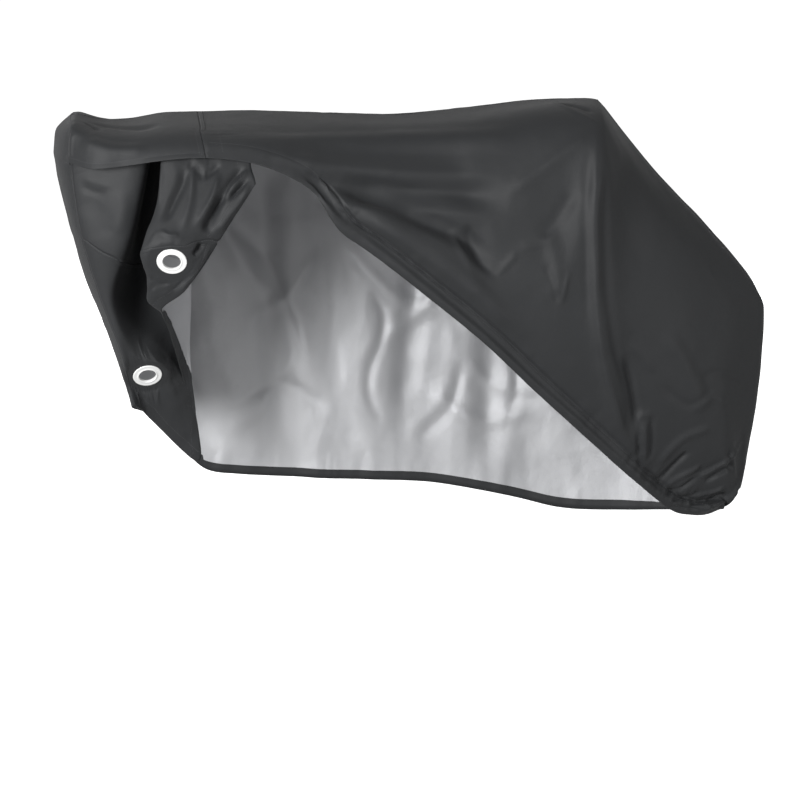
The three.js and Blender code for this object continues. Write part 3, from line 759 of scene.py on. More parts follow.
# %% Creases of the near side
CREST = [
    (440, -354, -132), (440, -368, -257), (446, -365, -435), (461, -353, -572), (479, -336, -658),
    (502, -319, -733), (525, -302, -803), (550, -279, -864), (586, -240, -941),
]
NEAR_CREASES = [
    ("crest", 6, 20, 0.7, [(450, -296, -17), *CREST]),
    ("crest line", 2.6, 5, 1.0, [(450, -301, -22), *CREST]),
    ("crest shade", -6, 24, 0.3,
        [(462, -327, -69), (469, -351, -259), (478, -351, -438), (499, -336, -576), (525, -307, -664),
         (551, -273, -754)]),
    ("crest left", -4, 20, 0.2,
        [(425, -326, -69), (414, -355, -197), (416, -358, -356), (429, -346, -546)]),
    ("fan edge", 7, 34, 0.6, [(430, -305, -26), (362, -320, -74), (291, -325, -126), (203, -330, -188)]),
    ("fan hollow", -6, 34, 0.2, [(388, -338, -173), (344, -335, -247), (295, -343, -303)]),
    ("facet", 6, 34, 0.1, [(317, -341, -283), (338, -352, -372), (349, -353, -463)]),
    ("diamond", 5, 12, 0.8, [(371, -359, -387), (364, -358, -425), (355, -351, -474)]),
    ("diamond side", -5, 12, 0.6, [(309, -348, -362), (330, -353, -420), (344, -351, -474)]),
    ("vee upright", -7, 18, 0.7,
        [(105, -332, -255), (115, -323, -312), (138, -331, -362), (172, -341, -395)]),
    ("vee arm", 5, 16, 0.6, [(177, -341, -398), (206, -345, -369), (237, -343, -335)]),
    ("vee left", 5, 20, 0.4, [(64, -323, -271), (88, -346, -327), (120, -354, -379)]),
    ("vee ridge", 4, 22, 0.3, [(235, -343, -329), (309, -344, -303), (353, -345, -272)]),
    ("roof brow", 9, 56, 0,
        [(-503, -325, -37), (-253, -261, -46), (-66, -243, -44), (118, -261, -39), (274, -286, -40)]),
    ("roof hollow", -24, 58, 0,
        [(-360, -350, -122), (-231, -340, -156), (-73, -326, -172), (73, -320, -180), (217, -330, -194)]),
    ("long trough", -14, 38, 0.3,
        [(-206, -342, -166), (-127, -335, -199), (-40, -337, -237), (112, -326, -314),
         (164, -335, -377)]),
    ("long roll", 8, 40, 0.1,
        [(-181, -355, -222), (-90, -361, -280), (29, -357, -362), (162, -357, -470),
         (273, -336, -578)]),
    ("corner crease", 5, 12, 0.8, [(350, -109, 35), (401, -233, 25), (460, -283, -5)]),
    ("corner hollow", -7, 15, 0.3, [(365, -136, 37), (451, -239, 22)]),
    ("rear lump one", 4, 22, 0.3, [(540, -305, -596), (577, -296, -618), (622, -284, -676)]),
    ("rear lump two", -4, 18, 0.3, [(638, -275, -714), (727, -248, -777), (793, -221, -736)]),
    ("rear lump three", 4, 22, 0.2, [(729, -243, -797), (794, -220, -764), (846, -187, -789)]),
    ("rear lump four", -4, 20, 0.3, [(755, -241, -703), (823, -203, -696), (900, -138, -733)]),
    ("rear soft", 6, 40, 0.1, [(645, -280, -562), (723, -256, -683), (777, -225, -802)]),
    ("valley", -15, 17, 0.4, [(532, -308, -615), (553, -288, -690), (569, -267, -767), (582, -263, -829)]),
    ("tongue hood", 7, 11, 0.5, [(579, -264, -815), (594, -271, -797), (614, -265, -807)]),
    ("tongue", 10, 10, 0.5, [(597, -270, -811), (603, -257, -870), (607, -231, -944)]),
    ("tongue left", -10, 11, 0.6, [(580, -262, -841), (588, -254, -898), (599, -232, -952)]),
    ("tongue right", -11, 12, 0.5, [(620, -262, -797), (624, -248, -867), (621, -228, -933)]),
    ("gather one", -14, 15, 0.4,
        [(648, -196, -1010), (677, -190, -981), (705, -199, -948), (738, -211, -912)]),
    ("gather one top", 8, 20, 0.2,
        [(644, -213, -960), (680, -222, -908), (728, -227, -868), (798, -210, -851)]),
    ("gather one ridge", 9, 13, 0.4, [(674, -181, -1023), (729, -181, -989), (779, -181, -959)]),
    ("gather two", -12, 12, 0.5,
        [(678, -189, -1043), (722, -166, -1030), (754, -170, -1010), (787, -163, -992)]),
    ("gather long", -12, 14, 0.5, [(791, -157, -1020), (830, -158, -994), (879, -139, -969)]),
    ("gather ridge", 10, 14, 0.4,
        [(748, -173, -1012), (807, -159, -982), (859, -148, -949), (914, -99, -915)]),
    ("gather three", 8, 11, 0.4, [(751, -141, -1069), (803, -131, -1052), (858, -136, -1035)]),
    ("gather three under", -9, 10, 0.5, [(698, -179, -1064), (731, -152, -1060), (768, -137, -1056)]),
    ("gather slot", -12, 11, 0.5,
        [(755, -147, -1085), (796, -126, -1079), (837, -110, -1073), (862, -124, -1055)]),
    ("gather low", -6, 9, 0.5, [(687, -177, -1078), (737, -156, -1091), (794, -129, -1104)]),
    ("lower puff", 9, 18, 0.2,
        [(775, -138, -1105), (855, -104, -1086), (902, -95, -1040), (928, -72, -983)]),
]

# %% [markdown]
# The front cloth hangs loose from behind the lip. It gathers into the flap with the near
# ring, falls into a deep valley, and stays smooth over the corner of the nose.

# %% Creases of the front cloth
FRONT_CREASES = [
    ("flap left edge", 4, 9, 0.6, [(-696, -326, -102), (-699, -343, -160), (-705, -356, -197)]),
    ("flap valley", -15, 20, 0.3,
        [(-631, -333, -100), (-642, -350, -144), (-666, -366, -189), (-690, -386, -238)]),
    ("flap ridge", 8, 15, 0.5,
        [(-618, -335, -105), (-616, -351, -144), (-620, -368, -181), (-633, -391, -225),
         (-647, -401, -262)]),
    ("gather cup left", -15, 10, 0.6, [(-608, -333, -100), (-598, -338, -115), (-585, -343, -127)]),
    ("gather cup right", -15, 10, 0.6, [(-585, -343, -127), (-564, -337, -115), (-543, -332, -98)]),
    ("gather fold", -11, 9, 0.6, [(-626, -335, -105), (-610, -330, -92)]),
    ("flap spine", 11, 14, 0.6,
        [(-546, -340, -120), (-560, -368, -166), (-587, -387, -213), (-613, -394, -253)]),
    ("flap dark top", -18, 13, 0.5, [(-484, -336, -106), (-515, -352, -135), (-542, -373, -176)]),
    ("flap dark fold", -27, 19, 0.4, [(-532, -367, -164), (-561, -384, -221), (-585, -385, -270)]),
    ("flap lens", -17, 12, 0.4, [(-477, -355, -135), (-498, -367, -159), (-522, -374, -181)]),
    ("flap roll", 9, 17, 0.3,
        [(-467, -360, -145), (-493, -370, -188), (-525, -375, -226), (-557, -375, -272)]),
    ("flap inner roll", 6, 10, 0.5, [(-473, -338, -108), (-492, -354, -135), (-524, -365, -159)]),
    ("flap dark end", -18, 15, 0.4, [(-593, -384, -294), (-617, -395, -326)]),
    ("flap roll end", 8, 16, 0.3,
        [(-567, -370, -304), (-599, -376, -345), (-631, -355, -395), (-663, -333, -443)]),
    ("ring wrinkle one", 4, 11, 0.5, [(-701, -395, -257), (-678, -407, -269), (-650, -405, -269)]),
    ("ring wrinkle three", -5, 12, 0.5, [(-729, -359, -382), (-707, -352, -402), (-678, -353, -405)]),
    ("ring wrinkle four", 5, 12, 0.5, [(-725, -342, -417), (-699, -336, -434), (-676, -341, -428)]),
    ("strip hollow", -4, 55, 0, [(-896, -257, -182), (-863, -271, -233), (-838, -276, -293)]),
    ("strip ridge", 4, 32, 0.2, [(-798, -294, -160), (-802, -293, -231), (-822, -283, -285)]),
    ("pocket ridge", 6, 12, 0.6, [(-902, -254, -137), (-868, -270, -146), (-819, -288, -158)]),
    ("pocket hollow", -6, 12, 0.5, [(-906, -252, -159), (-877, -266, -173), (-840, -282, -179)]),
    ("band corner", 5, 12, 0.6, [(-926, -243, -18), (-930, -247, -91)]),
    ("band hollow", -7, 40, 0.1, [(-888, -106, -3), (-808, -156, -15), (-697, -205, -8)]),
    ("band bulge", 9, 36, 0.1, [(-905, -265, -42), (-826, -308, -59), (-723, -326, -58)]),
    ("band end", -5, 16, 0.4, [(-897, -155, -1), (-853, -229, -18)]),
]

# %% [markdown]
# The far side hangs freely. Its folds are long, soft and upright, with some slack wrinkles
# where the cloth bulges against what it covers. They show in the silver face.

# %% Creases of the far side
FAR_CREASES = [
    ("bar fold", 16, 70, 0.1, [(-420, 330, -180), (-400, 345, -520), (-360, 340, -1000)]),
    ("bar slack", -12, 40, 0.4, [(-560, 335, -300), (-430, 345, -520), (-260, 345, -640)]),
    ("bar crease", 9, 27, 0.6, [(-500, 335, -350), (-400, 345, -460), (-330, 345, -640), (-300, 340, -760)]),
    ("bar crossing", -10, 30, 0.5, [(-250, 340, -420), (-340, 345, -560), (-470, 340, -640)]),
    ("middle fold", 17, 62, 0.1, [(60, 330, -170), (30, 345, -560), (-20, 335, -1020)]),
    ("middle slack", -13, 40, 0.4, [(-180, 345, -400), (-40, 345, -560), (140, 345, -620)]),
    ("middle crease", 10, 27, 0.6,
        [(-120, 345, -480), (-60, 345, -640), (-110, 340, -820), (-60, 335, -960)]),
    ("middle crossing", -10, 30, 0.5, [(120, 345, -460), (40, 345, -620), (-80, 345, -700)]),
    ("saddle fold", 15, 66, 0.1, [(300, 330, -180), (260, 345, -560), (240, 335, -1060)]),
    ("saddle slack", -12, 40, 0.4, [(420, 335, -360), (300, 345, -520), (160, 345, -680)]),
    ("saddle crease", 9, 27, 0.6, [(360, 340, -520), (300, 345, -660), (330, 335, -820), (290, 335, -980)]),
    ("saddle crossing", -9, 30, 0.5, [(180, 345, -760), (280, 340, -840), (420, 325, -840)]),
    ("low slack one", 10, 34, 0.4, [(-540, 330, -900), (-380, 340, -820), (-220, 335, -900)]),
    ("low crease one", -9, 27, 0.6, [(-520, 330, -960), (-420, 335, -880), (-320, 340, -720)]),
    ("low slack two", -10, 32, 0.4, [(60, 335, -840), (220, 340, -940), (400, 325, -900)]),
    ("low crease two", 9, 27, 0.6, [(20, 335, -1000), (130, 335, -900), (170, 340, -760)]),
    ("rear fold", 14, 56, 0.2, [(560, 290, -300), (620, 280, -640), (660, 250, -1060)]),
    ("rear slack", -10, 36, 0.4, [(480, 320, -620), (600, 290, -760), (740, 240, -720)]),
    ("rear crease", 8, 27, 0.6, [(520, 300, -980), (600, 280, -860), (720, 240, -840)]),
    ("front fold", 13, 56, 0.2, [(-780, 330, -160), (-740, 335, -500), (-680, 300, -900)]),
    ("front slack", -10, 36, 0.4, [(-860, 290, -420), (-740, 330, -560), (-600, 335, -520)]),
    ("front crease", 8, 27, 0.6, [(-800, 320, -620), (-700, 330, -700), (-600, 330, -860)]),
]

# %% [markdown]
# The nose and the rear strip are pulled tight by the corners, so only a few shallow folds
# cross them.

# %% Creases of the two ends
END_CREASES = [
    ("nose fold", 7, 45, 0.3, [(-985, 0, -90), (-975, 20, -300), (-900, 40, -700)]),
    ("nose slack", -6, 34, 0.4, [(-975, -120, -150), (-960, 0, -330), (-930, 110, -420)]),
    ("strap slack", -5, 30, 0.4, [(-930, -60, -500), (-900, 60, -560), (-860, 150, -520)]),
    ("rear soft fold", 5, 40, 0.3, [(700, 0, -210), (860, 10, -390), (955, 0, -540)]),
    ("rear low fold", -4, 36, 0.3, [(965, 20, -620), (958, -20, -800), (940, 0, -980)]),
]

# %% [markdown]
# A crease may cross a seam, so each group of pieces that meet is one surface for its lines,
# and every piece of the group is lifted by every crease near it.

# %% Lay the creases on the cloth
GROUPS = [
    (["side_near_rear", "side_near_front"], NEAR_CREASES),
    (["side_near_front", "drop_near", "lock_front", "lock_flap"], FRONT_CREASES),
    (["side_far"], FAR_CREASES),
    (["front_end", "rear_strip"], END_CREASES),
]


def lay_on(surface, line):
    return np.array([surface.find_nearest(Vector(point))[0] for point in bent_line(line, CREASE_STEP)])


def crease_pieces():
    lift = {node: 0.0 for node in panels}
    for nodes, creases in GROUPS:
        surface = surface_of(nodes)
        for seed, (_, out, width, sharp, line) in enumerate(creases):
            on_cloth = lay_on(surface, np.array(line) * MM)
            for node in nodes:
                points = read(panels[node].data.vertices, "co")
                height = crease_height(points, on_cloth, out * MM, width * MM, sharp, seed)
                lift[node] = lift[node] + height
    return lift


crease_lift = crease_pieces()
print("creases:", sum(len(creases) for _, creases in GROUPS))

# %% [markdown]
# Hems come next. The near hem is a wide channel with elastic in it, so the cloth on both
# sides of its stitching is puckered, and more so towards the gathered rear corner. The far
# hem and the front's free edges are plain turned hems. Each row of the table gives the
# depth of the turning, the depth of the groove at its stitching, and the height of the
# puckers, in millimetres.

# %% Hem relief
HEMS = {
    "side_near_rear": {"band": 46, "groove": 11.0, "pucker": 2.2},
    "side_near_front": {"band": 14, "groove": 0.6, "pucker": 0.3},
    "drop_near": {"band": 34, "groove": 1.6, "pucker": 1.2},
    "lock_front": {"band": 30, "groove": 1.4, "pucker": 1.0},
    "lock_flap": {"band": 26, "groove": 1.4, "pucker": 0.8},
    "front_end": {"band": 32, "groove": 1.6, "pucker": 1.6},
    "rear_strip": {"band": 40, "groove": 1.6, "pucker": 1.6},
    "side_far": {"band": 26, "groove": 1.2, "pucker": 1.6},
}
GROOVE_WIDTH = 6.5 * MM
PUCKER_REACH = 62 * MM
PUCKER_PACE = 34  # pleats come about three to a hundred millimetres
PUCKER_GAIN = 1.8
SLOW_PUCKERS = 3.0  # two seeds of the noise along the hem
QUICK_PUCKERS = 8.0
QUICKER = 2.3
EDGE_REST, EDGE_FADE = 0.35, 8 * MM  # puckers shrink to this share of their height at the edge
HEM_STEP = 4 * MM
LINES_APART = 10  # in metres, so that two hem lines never share a pucker
CHANNEL_STARTS, CHANNEL_FADE, CHANNEL_REST = -0.30, 0.15, 0.12
GATHER_STARTS, GATHER_FADE, GATHER_REST, GATHER_GAIN = 0.35, 0.4, 0.4, 1.6


def hem_place(points, lines):
    """For each point: how far the nearest hem is, and how far along it."""
    steps = [even_steps(line, HEM_STEP) for line in lines]
    tree = KDTree(sum(len(s) for s in steps))
    walked = 0.0
    places = []
    for line in steps:
        for i, point in enumerate(line):
            tree.insert(point, len(places))
            places.append(walked + i * HEM_STEP)
        walked += LINES_APART + len(line) * HEM_STEP
    tree.balance()
    found = [tree.find(Vector(p)) for p in points]
    return np.array([f[2] for f in found]), np.array([places[f[1]] for f in found])


def pucker(place):
    slow = wander(place, SLOW_PUCKERS, PUCKER_PACE)
    return slow + 0.5 * wander(place, QUICK_PUCKERS, QUICKER * PUCKER_PACE)


def hem_lift(node, points):
    hem = HEMS[node]
    away, along = hem_place(points, hem_lines[node])
    off_band = np.abs(away - hem["band"] * MM)
    groove = -hem["groove"] * MM * np.clip(1 - off_band / GROOVE_WIDTH, 0, 1)
    gather = 1.0
    if node == "side_near_rear":
        along_x = points[:, 0]
        groove *= CHANNEL_REST + (1 - CHANNEL_REST) * smooth_rise((along_x - CHANNEL_STARTS) / CHANNEL_FADE)
        gather = GATHER_REST + GATHER_GAIN * smooth_rise((along_x - GATHER_STARTS) / GATHER_FADE)
    waves = np.array([pucker(place) for place in along])
    reach = smooth_rise(1 - off_band / PUCKER_REACH) * smooth_rise(away / EDGE_FADE + EDGE_REST)
    return groove + hem["pucker"] * MM * PUCKER_GAIN * gather * waves * reach


for node, lines in hem_lines.items():
    print(node, "hem:", HEMS[node]["band"], "mm deep, free edges:", len(lines))

# %% [markdown]
# A slow unevenness over all the cloth keeps any part of it from being perfectly smooth. The
# cloth was also packed once, which shows as ridged noise: it folds over at zero, as crumpled
# cloth does along its crease lines. The loose far side keeps more of it than the tight
# near side, and the roof keeps none.

# %% Slack and crumple
SLACK = [(7.0, 1.6), (19.0, 0.7), (48.0, 0.28)]  # waves per metre and height in millimetres
CRUMPLE = [(4.5, 9.0), (9.5, 5.0), (21.0, 1.6)]
CRUMPLED = {
    "side_far": 1.0, "front_end": 0.35, "rear_strip": 0.3, "side_near_rear": 0.20,
    "side_near_front": 0.2, "drop_near": 0.25, "lock_front": 0.35, "lock_flap": 0.25,
}
CRUMPLE_UPRIGHT = 0.62  # under 1, the ridges run more upright than level
CRUMPLE_MEAN = 0.22
CRUMPLE_TOP, CRUMPLE_FADE = 0.05, 0.22  # none on the roof, all of it this far below


def slack_lift(points):
    lift = np.zeros(len(points))
    for pace, height in SLACK:
        lift += height * MM * np.array([noise.noise(Vector(p) * pace) for p in points])
    return lift


def crumple_lift(points):
    lift = np.zeros(len(points))
    for pace, height in CRUMPLE:
        places = [Vector((x, y, CRUMPLE_UPRIGHT * z)) * pace for x, y, z in points]
        ridges = np.array([abs(noise.noise(place)) for place in places])
        lift += height * MM * (ridges - CRUMPLE_MEAN)
    return lift * smooth_rise((CRUMPLE_TOP - points[:, 2]) / CRUMPLE_FADE)


print("most crumple:", sum(height for _, height in CRUMPLE), "mm")

# %% [markdown]
# Now the pieces are moved along their normals by the sum of all this relief. A ring clamps
# the cloth flat round its hole, and one corner by the front seam is too tight for a fold, so
# nothing moves there. A ring's turn and dip are its tilt in degrees.

# %% Move the cloth
RINGS = {
    "eyelet_near": {"name": "ring_near", "centre": (-672, -386, -340), "turn": -4, "dip": 28},
    "eyelet_front": {"name": "ring_front", "centre": (-745, -136, -690), "turn": 8, "dip": 36},
}
TIGHT_CORNER = (-795, -174, -658)
CALM_PLACES = [{"at": TIGHT_CORNER, "still": 8, "fade": 30}]
CALM_PLACES += [{"at": ring["centre"], "still": 46, "fade": 26} for ring in RINGS.values()]


def calm(points):
    """How free each point is to move, from 0 to 1."""
    free = np.ones(len(points))
    for spot in CALM_PLACES:
        away = np.linalg.norm(points - np.array(spot["at"]) * MM, axis=1)
        free *= smooth_rise((away - spot["still"] * MM) / (spot["fade"] * MM))
    return free


before, moved = {}, {}
for node, piece in panels.items():
    points, normals = (read(piece.data.vertices, name) for name in ("co", "normal"))
    lift = crease_lift[node] + hem_lift(node, points) + slack_lift(points)
    lift = (lift + CRUMPLED[node] * crumple_lift(points)) * calm(points)
    before[node] = points
    moved[node] = points + normals * lift[:, None]
    print(piece.name, "moved by up to", round(float(np.abs(lift).max()) / MM, 1), "mm")

# %% [markdown]
# Two neighbours move by different amounts where they meet. Each rim point therefore takes
# the mean of all the rim points that lay at the same place before, so no seam opens. A
# little easing then rounds off the folds that came out too sharp.

# %% Close the seams and ease the cloth
SAME_POINT = 0.5 * MM
EASING_ROUNDS = 2


def rim_points(mesh):
    return open_points(key for polygon in mesh.polygons for key in polygon.edge_keys)


def close_seams():
    rims = [(node, i) for node in CLOTH_NODES for i in rim_points(panels[node].data)]
    tree = KDTree(len(rims))
    for number, (node, i) in enumerate(rims):
        tree.insert(before[node][i], number)
    tree.balance()
    joined = {}
    for node, i in rims:
        group = [rims[n] for _, n, _ in tree.find_range(before[node][i], SAME_POINT)]
        joined[(node, i)] = np.mean([moved[other][j] for other, j in group], axis=0)
    for (node, i), place in joined.items():
        moved[node][i] = place
    print("rim points brought together:", len(rims))


def eased(mesh, points):
    """Evens out each point between its neighbours. The rim stays where it is."""
    ends = np.array([e.vertices[:] for e in mesh.edges])
    free = np.ones(len(points), dtype=bool)
    free[rim_points(mesh)] = False
    count = np.bincount(ends.ravel(), minlength=len(points))[:, None]
    for _ in range(EASING_ROUNDS):
        total = np.zeros_like(points)
        np.add.at(total, ends[:, 0], points[ends[:, 1]])
        np.add.at(total, ends[:, 1], points[ends[:, 0]])
        points = np.where(free[:, None], 0.5 * points + 0.5 * total / count, points)
    return points


close_seams()
for node, piece in panels.items():
    write_points(piece.data, eased(piece.data, moved[node]))

# %% [markdown]
# A seam is a narrow fold of both cloths, turned to one side and sewn down with one or two
# rows of stitches. A hem has one row at the depth of its turning. Both are laid out by
# walking over the finished cloth: along the line, and then sideways across the surface.

# %% Walking over the cloth
WALK_STEP = 2.5 * MM
ARRIVED = 0.01 * MM
VOTERS = 12
VOTE_REACH = 6 * MM


def laid(place, surface):
    spot, normal, _, _ = surface.find_nearest(place)
    return spot, normal


def walk_across(start, run, sense, stops, surface):
    """Points at growing distances from the start, square to the run of the line."""
    spot, normal = laid(start, surface)
    found, gone = [], 0.0
    for stop in stops:
        while gone < stop - ARRIVED:
            step = min(WALK_STEP, stop - gone)
            side = normal.cross(run).normalized() * sense
            spot, normal = laid(spot + side * step, surface)
            gone += step
        found.append((spot.copy(), normal.copy()))
    return found


def runs_along(line, step):
    """Even places on a line, each with the direction that the line runs in there."""
    places = [Vector(p) for p in even_steps(line, step)]
    behind = [places[0], *places[:-1]]
    ahead = [*places[1:], places[-1]]
    return [(place, (b - a).normalized()) for place, a, b in zip(places, behind, ahead)]


def laid_gap(place, surface):
    return surface.find_nearest(place)[3]


def sense_towards(runs, surface, owner):
    """Whether the owner's cloth is on the left or the right of a line, by a vote."""
    votes = 0
    for place, run in runs[:: max(1, len(runs) // VOTERS)]:
        spot, normal = laid(place, surface)
        side = normal.cross(run).normalized() * VOTE_REACH
        votes += 1 if laid_gap(spot + side, owner) < laid_gap(spot - side, owner) else -1
    return 1 if votes >= 0 else -1


all_cloth = surface_of(CLOTH_NODES)
own_cloth = {node: surface_of([node]) for node in CLOTH_NODES}
print("surfaces to walk on:", 1 + len(own_cloth))

# %% [markdown]
# The fold of a seam is a low strip with a rounded back. Its profile says how far across and
# how high each of its columns lies, in millimetres. The double seam between the two near
# panels is wider, and the table says which piece each fold lies on and where its rows run.

# %% Seam folds
def triangles_of(piece):
    return sum(len(p.vertices) - 2 for p in piece.data.polygons)


SEAM_STEP = 6 * MM
SEAM_FOLD = [(0.0, 0.0), (0.7, 0.85), (2.2, 1.0), (5.0, 0.8), (8.0, 1.0), (9.2, 0.8), (9.8, 0.0)]
WIDE_FOLD = [(0.0, 0.0), (0.7, 0.9), (2.6, 1.05), (6.0, 0.8), (9.6, 1.05), (11.3, 0.8), (12.0, 0.0)]
PLAIN = {"fold": SEAM_FOLD, "rows": (2.4,)}
DOUBLE = {"fold": SEAM_FOLD, "rows": (2.2, 7.8)}
WIDE = {"fold": WIDE_FOLD, "rows": (2.4, 9.8)}
SEAMS = {
    ("side_near_front", "side_near_rear"): ("side_near_rear", WIDE),
    ("side_far", "side_near_rear"): ("side_far", DOUBLE),
    ("side_far", "side_near_front"): ("side_far", DOUBLE),
    ("rear_strip", "side_near_rear"): ("rear_strip", PLAIN),
    ("rear_strip", "side_far"): ("rear_strip", PLAIN),
    ("front_end", "side_near_front"): ("front_end", PLAIN),
    ("front_end", "side_far"): ("front_end", PLAIN),
    ("drop_near", "front_end"): ("front_end", PLAIN),
    ("drop_near", "lock_front"): ("lock_front", PLAIN),
    ("drop_near", "lock_flap"): ("lock_flap", PLAIN),
    ("front_end", "lock_front"): ("front_end", PLAIN),
}
SHORTEST_SEAM = 60 * MM
ON_A_FOLD = 0.9 * MM  # how high a stitch lies on a fold
rows_to_sew = {node: [] for node in CLOTH_NODES}


def laid_strip(rails, profile):
    """A grid laid over the cloth: one row a rail, one column a place of the profile."""
    bpy.ops.mesh.primitive_grid_add(x_subdivisions=len(profile) - 1, y_subdivisions=len(rails) - 1)
    strip = bpy.context.object
    uv = strip.data.uv_layers.active or strip.data.uv_layers.new()
    uv.name = "cloth"
    points = []
    for rail in rails:
        points += [spot + normal * height * MM for (spot, normal), (_, height) in zip(rail, profile)]
    strip.data.vertices.foreach_set("co", [v for p in points for v in p])
    for loop in strip.data.loops:
        row, column = divmod(loop.vertex_index, len(profile))
        uv.data[loop.index].uv = (profile[column][0] * MM, row * SEAM_STEP)
    strip.data.materials.append(outside)
    strip.data.update()
    return strip


def seam_strips():
    strips = {node: [] for node in CLOTH_NODES}
    for pair, lines in seam_lines.items():
        if pair not in SEAMS:
            print("no fold on", pair)
            continue
        owner, kind = SEAMS[pair]
        stops = [across * MM for across, _ in kind["fold"]]
        for line in lines:
            if length_of(line) < SHORTEST_SEAM:
                continue
            runs = runs_along(line, SEAM_STEP)
            sense = sense_towards(runs, all_cloth, own_cloth[owner])
            rails = [walk_across(place, run, sense, stops, all_cloth) for place, run in runs]
            strips[owner].append(laid_strip(rails, kind["fold"]))
            for across in kind["rows"]:
                rows_to_sew[owner].append((line, sense, across * MM, ON_A_FOLD))
    return strips


def face_outwards(o, surface):
    """An open strip has no inside, so its faces are turned by the cloth under them."""
    wrong = 0
    for polygon in o.data.polygons:
        wrong += 1 if laid(polygon.center, surface)[1].dot(polygon.normal) < 0 else -1
    if wrong > 0:
        o.data.flip_normals()


seam_pieces = {}
for node, strips in seam_strips().items():
    for strip in strips:
        face_outwards(strip, all_cloth)
    if strips:
        pick_only(*strips)
        if len(strips) > 1:
            bpy.ops.object.join()
        seam_pieces[node] = bpy.context.view_layer.objects.active
        seam_pieces[node].name = PANELS[node]["name"] + "_seams"
        bpy.ops.object.shade_smooth()
        print(seam_pieces[node].name, triangles_of(seam_pieces[node]), "triangles")

# %% [markdown]
# One stitch is a tiny pointed bead of thread. It is modelled once, and a copy is laid for
# each stitch of each row, pressed a little into the cloth.

# %% Stitches
STITCH_PACE = 6.2 * MM
STITCH_SIZE = (0.48 * MM, 2.1 * MM, 0.40 * MM)  # half width, half length, half height
BEAD_SIDES, BEAD_RINGS = 6, 4
RING_HOLE_EDGE = 0.25  # a shorter edge is cut for a ring, which clamps it

bpy.ops.mesh.primitive_uv_sphere_add(segments=BEAD_SIDES, ring_count=BEAD_RINGS, radius=1.0)
bead = bpy.context.object
with editing(bead):
    bpy.ops.transform.rotate(value=math.radians(90), orient_axis="X", center_override=(0, 0, 0))
    bpy.ops.transform.resize(value=STITCH_SIZE)
bead_points = read(bead.data.vertices, "co")
bead_faces = [tuple(p.vertices) for p in bead.data.polygons]
bpy.data.objects.remove(bead)

for node, lines in hem_lines.items():
    for line in lines:
        if length_of(line) > RING_HOLE_EDGE:
            sense = sense_towards(runs_along(line, SEAM_STEP), own_cloth[node], own_cloth[node])
            rows_to_sew[node].append((line, sense, HEMS[node]["band"] * MM, 0.0))


def stitches(node):
    points, faces = [], []
    for line, sense, across, height in rows_to_sew[node]:
        for place, run in runs_along(line, STITCH_PACE):
            spot, normal = walk_across(place, run, sense, [across], all_cloth)[0]
            forward = (run - normal * run.dot(normal)).normalized()
            axes = np.array([normal.cross(forward)[:], forward[:], normal[:]])
            start = len(points)
            points += (bead_points @ axes + np.array(spot + normal * height)).tolist()
            faces += [tuple(start + i for i in face) for face in bead_faces]
    mesh = bpy.data.meshes.new(PANELS[node]["name"] + "_stitches")
    mesh.from_pydata(points, [], faces)
    mesh.materials.append(thread)
    sewn = added(mesh)
    pick_only(sewn)
    bpy.ops.object.shade_smooth()
    return sewn


stitch_pieces = {node: stitches(node) for node in CLOTH_NODES if rows_to_sew[node]}
for piece in stitch_pieces.values():
    print(piece.name, triangles_of(piece), "triangles")

# %% [markdown]
# Until here each piece has no thickness. Solidify gives it 1.6 mm towards the inside, and
# puts the silver finish on that inner face. Two pieces then have more triangles than
# MOST_TRIANGLES and are decimated below it. The turned hem shows charcoal inside too, up to its stitching.

# %% Thickness and the silver inside
CLOTH = 1.6 * MM
MOST_TRIANGLES = 196000
HEM_INSIDE = 1  # millimetres that the silver reaches past the stitching


def turn_hem(node, piece):
    faces = piece.data.polygons
    away, _ = hem_place(read(faces, "center"), hem_lines[node])
    kinds = read(faces, "material_index", columns=1, kind=np.int32)
    kinds[away < (HEMS[node]["band"] - HEM_INSIDE) * MM] = 0
    faces.foreach_set("material_index", kinds.ravel())


def thin_out(piece):
    """Decimates a piece that has more triangles than MOST_TRIANGLES down to that count."""
    count = triangles_of(piece)
    if count > MOST_TRIANGLES:
        modify(piece, "DECIMATE", ratio=MOST_TRIANGLES / count)


for node, piece in panels.items():
    modify(piece, "SOLIDIFY", thickness=CLOTH, offset=-1, material_offset=1, material_offset_rim=0)
    thin_out(piece)
    turn_hem(node, piece)
    print(piece.name, triangles_of(piece), "triangles")

# %% [markdown]
# The rings are moulded in two halves that snap together through the cloth. Each is a
# profile spun about its axis: a rounded flange with a shallow dish, and a raised lip round
# the hole. The same profile serves both faces, mirrored.

# %% Rings
RING_PROFILE = [
    (23.4, 0.0), (23.4, 3.2), (23.9, 4.3), (25.0, 4.9), (26.4, 4.9), (27.5, 4.3), (28.2, 3.9),
    (30.5, 3.7), (34.0, 3.75), (36.6, 4.0), (38.0, 3.9), (39.0, 3.1), (39.4, 2.1), (39.4, 1.4),
]
BARREL_RADIUS, BARREL_HALF = 30.0, 1.4
SPIN_STEPS = 72


def ring_axis(ring):
    axis = Vector((0, -1, 0))
    axis = Matrix.Rotation(math.radians(ring["dip"]), 3, "X") @ axis
    return Matrix.Rotation(math.radians(ring["turn"]), 3, "Z") @ axis


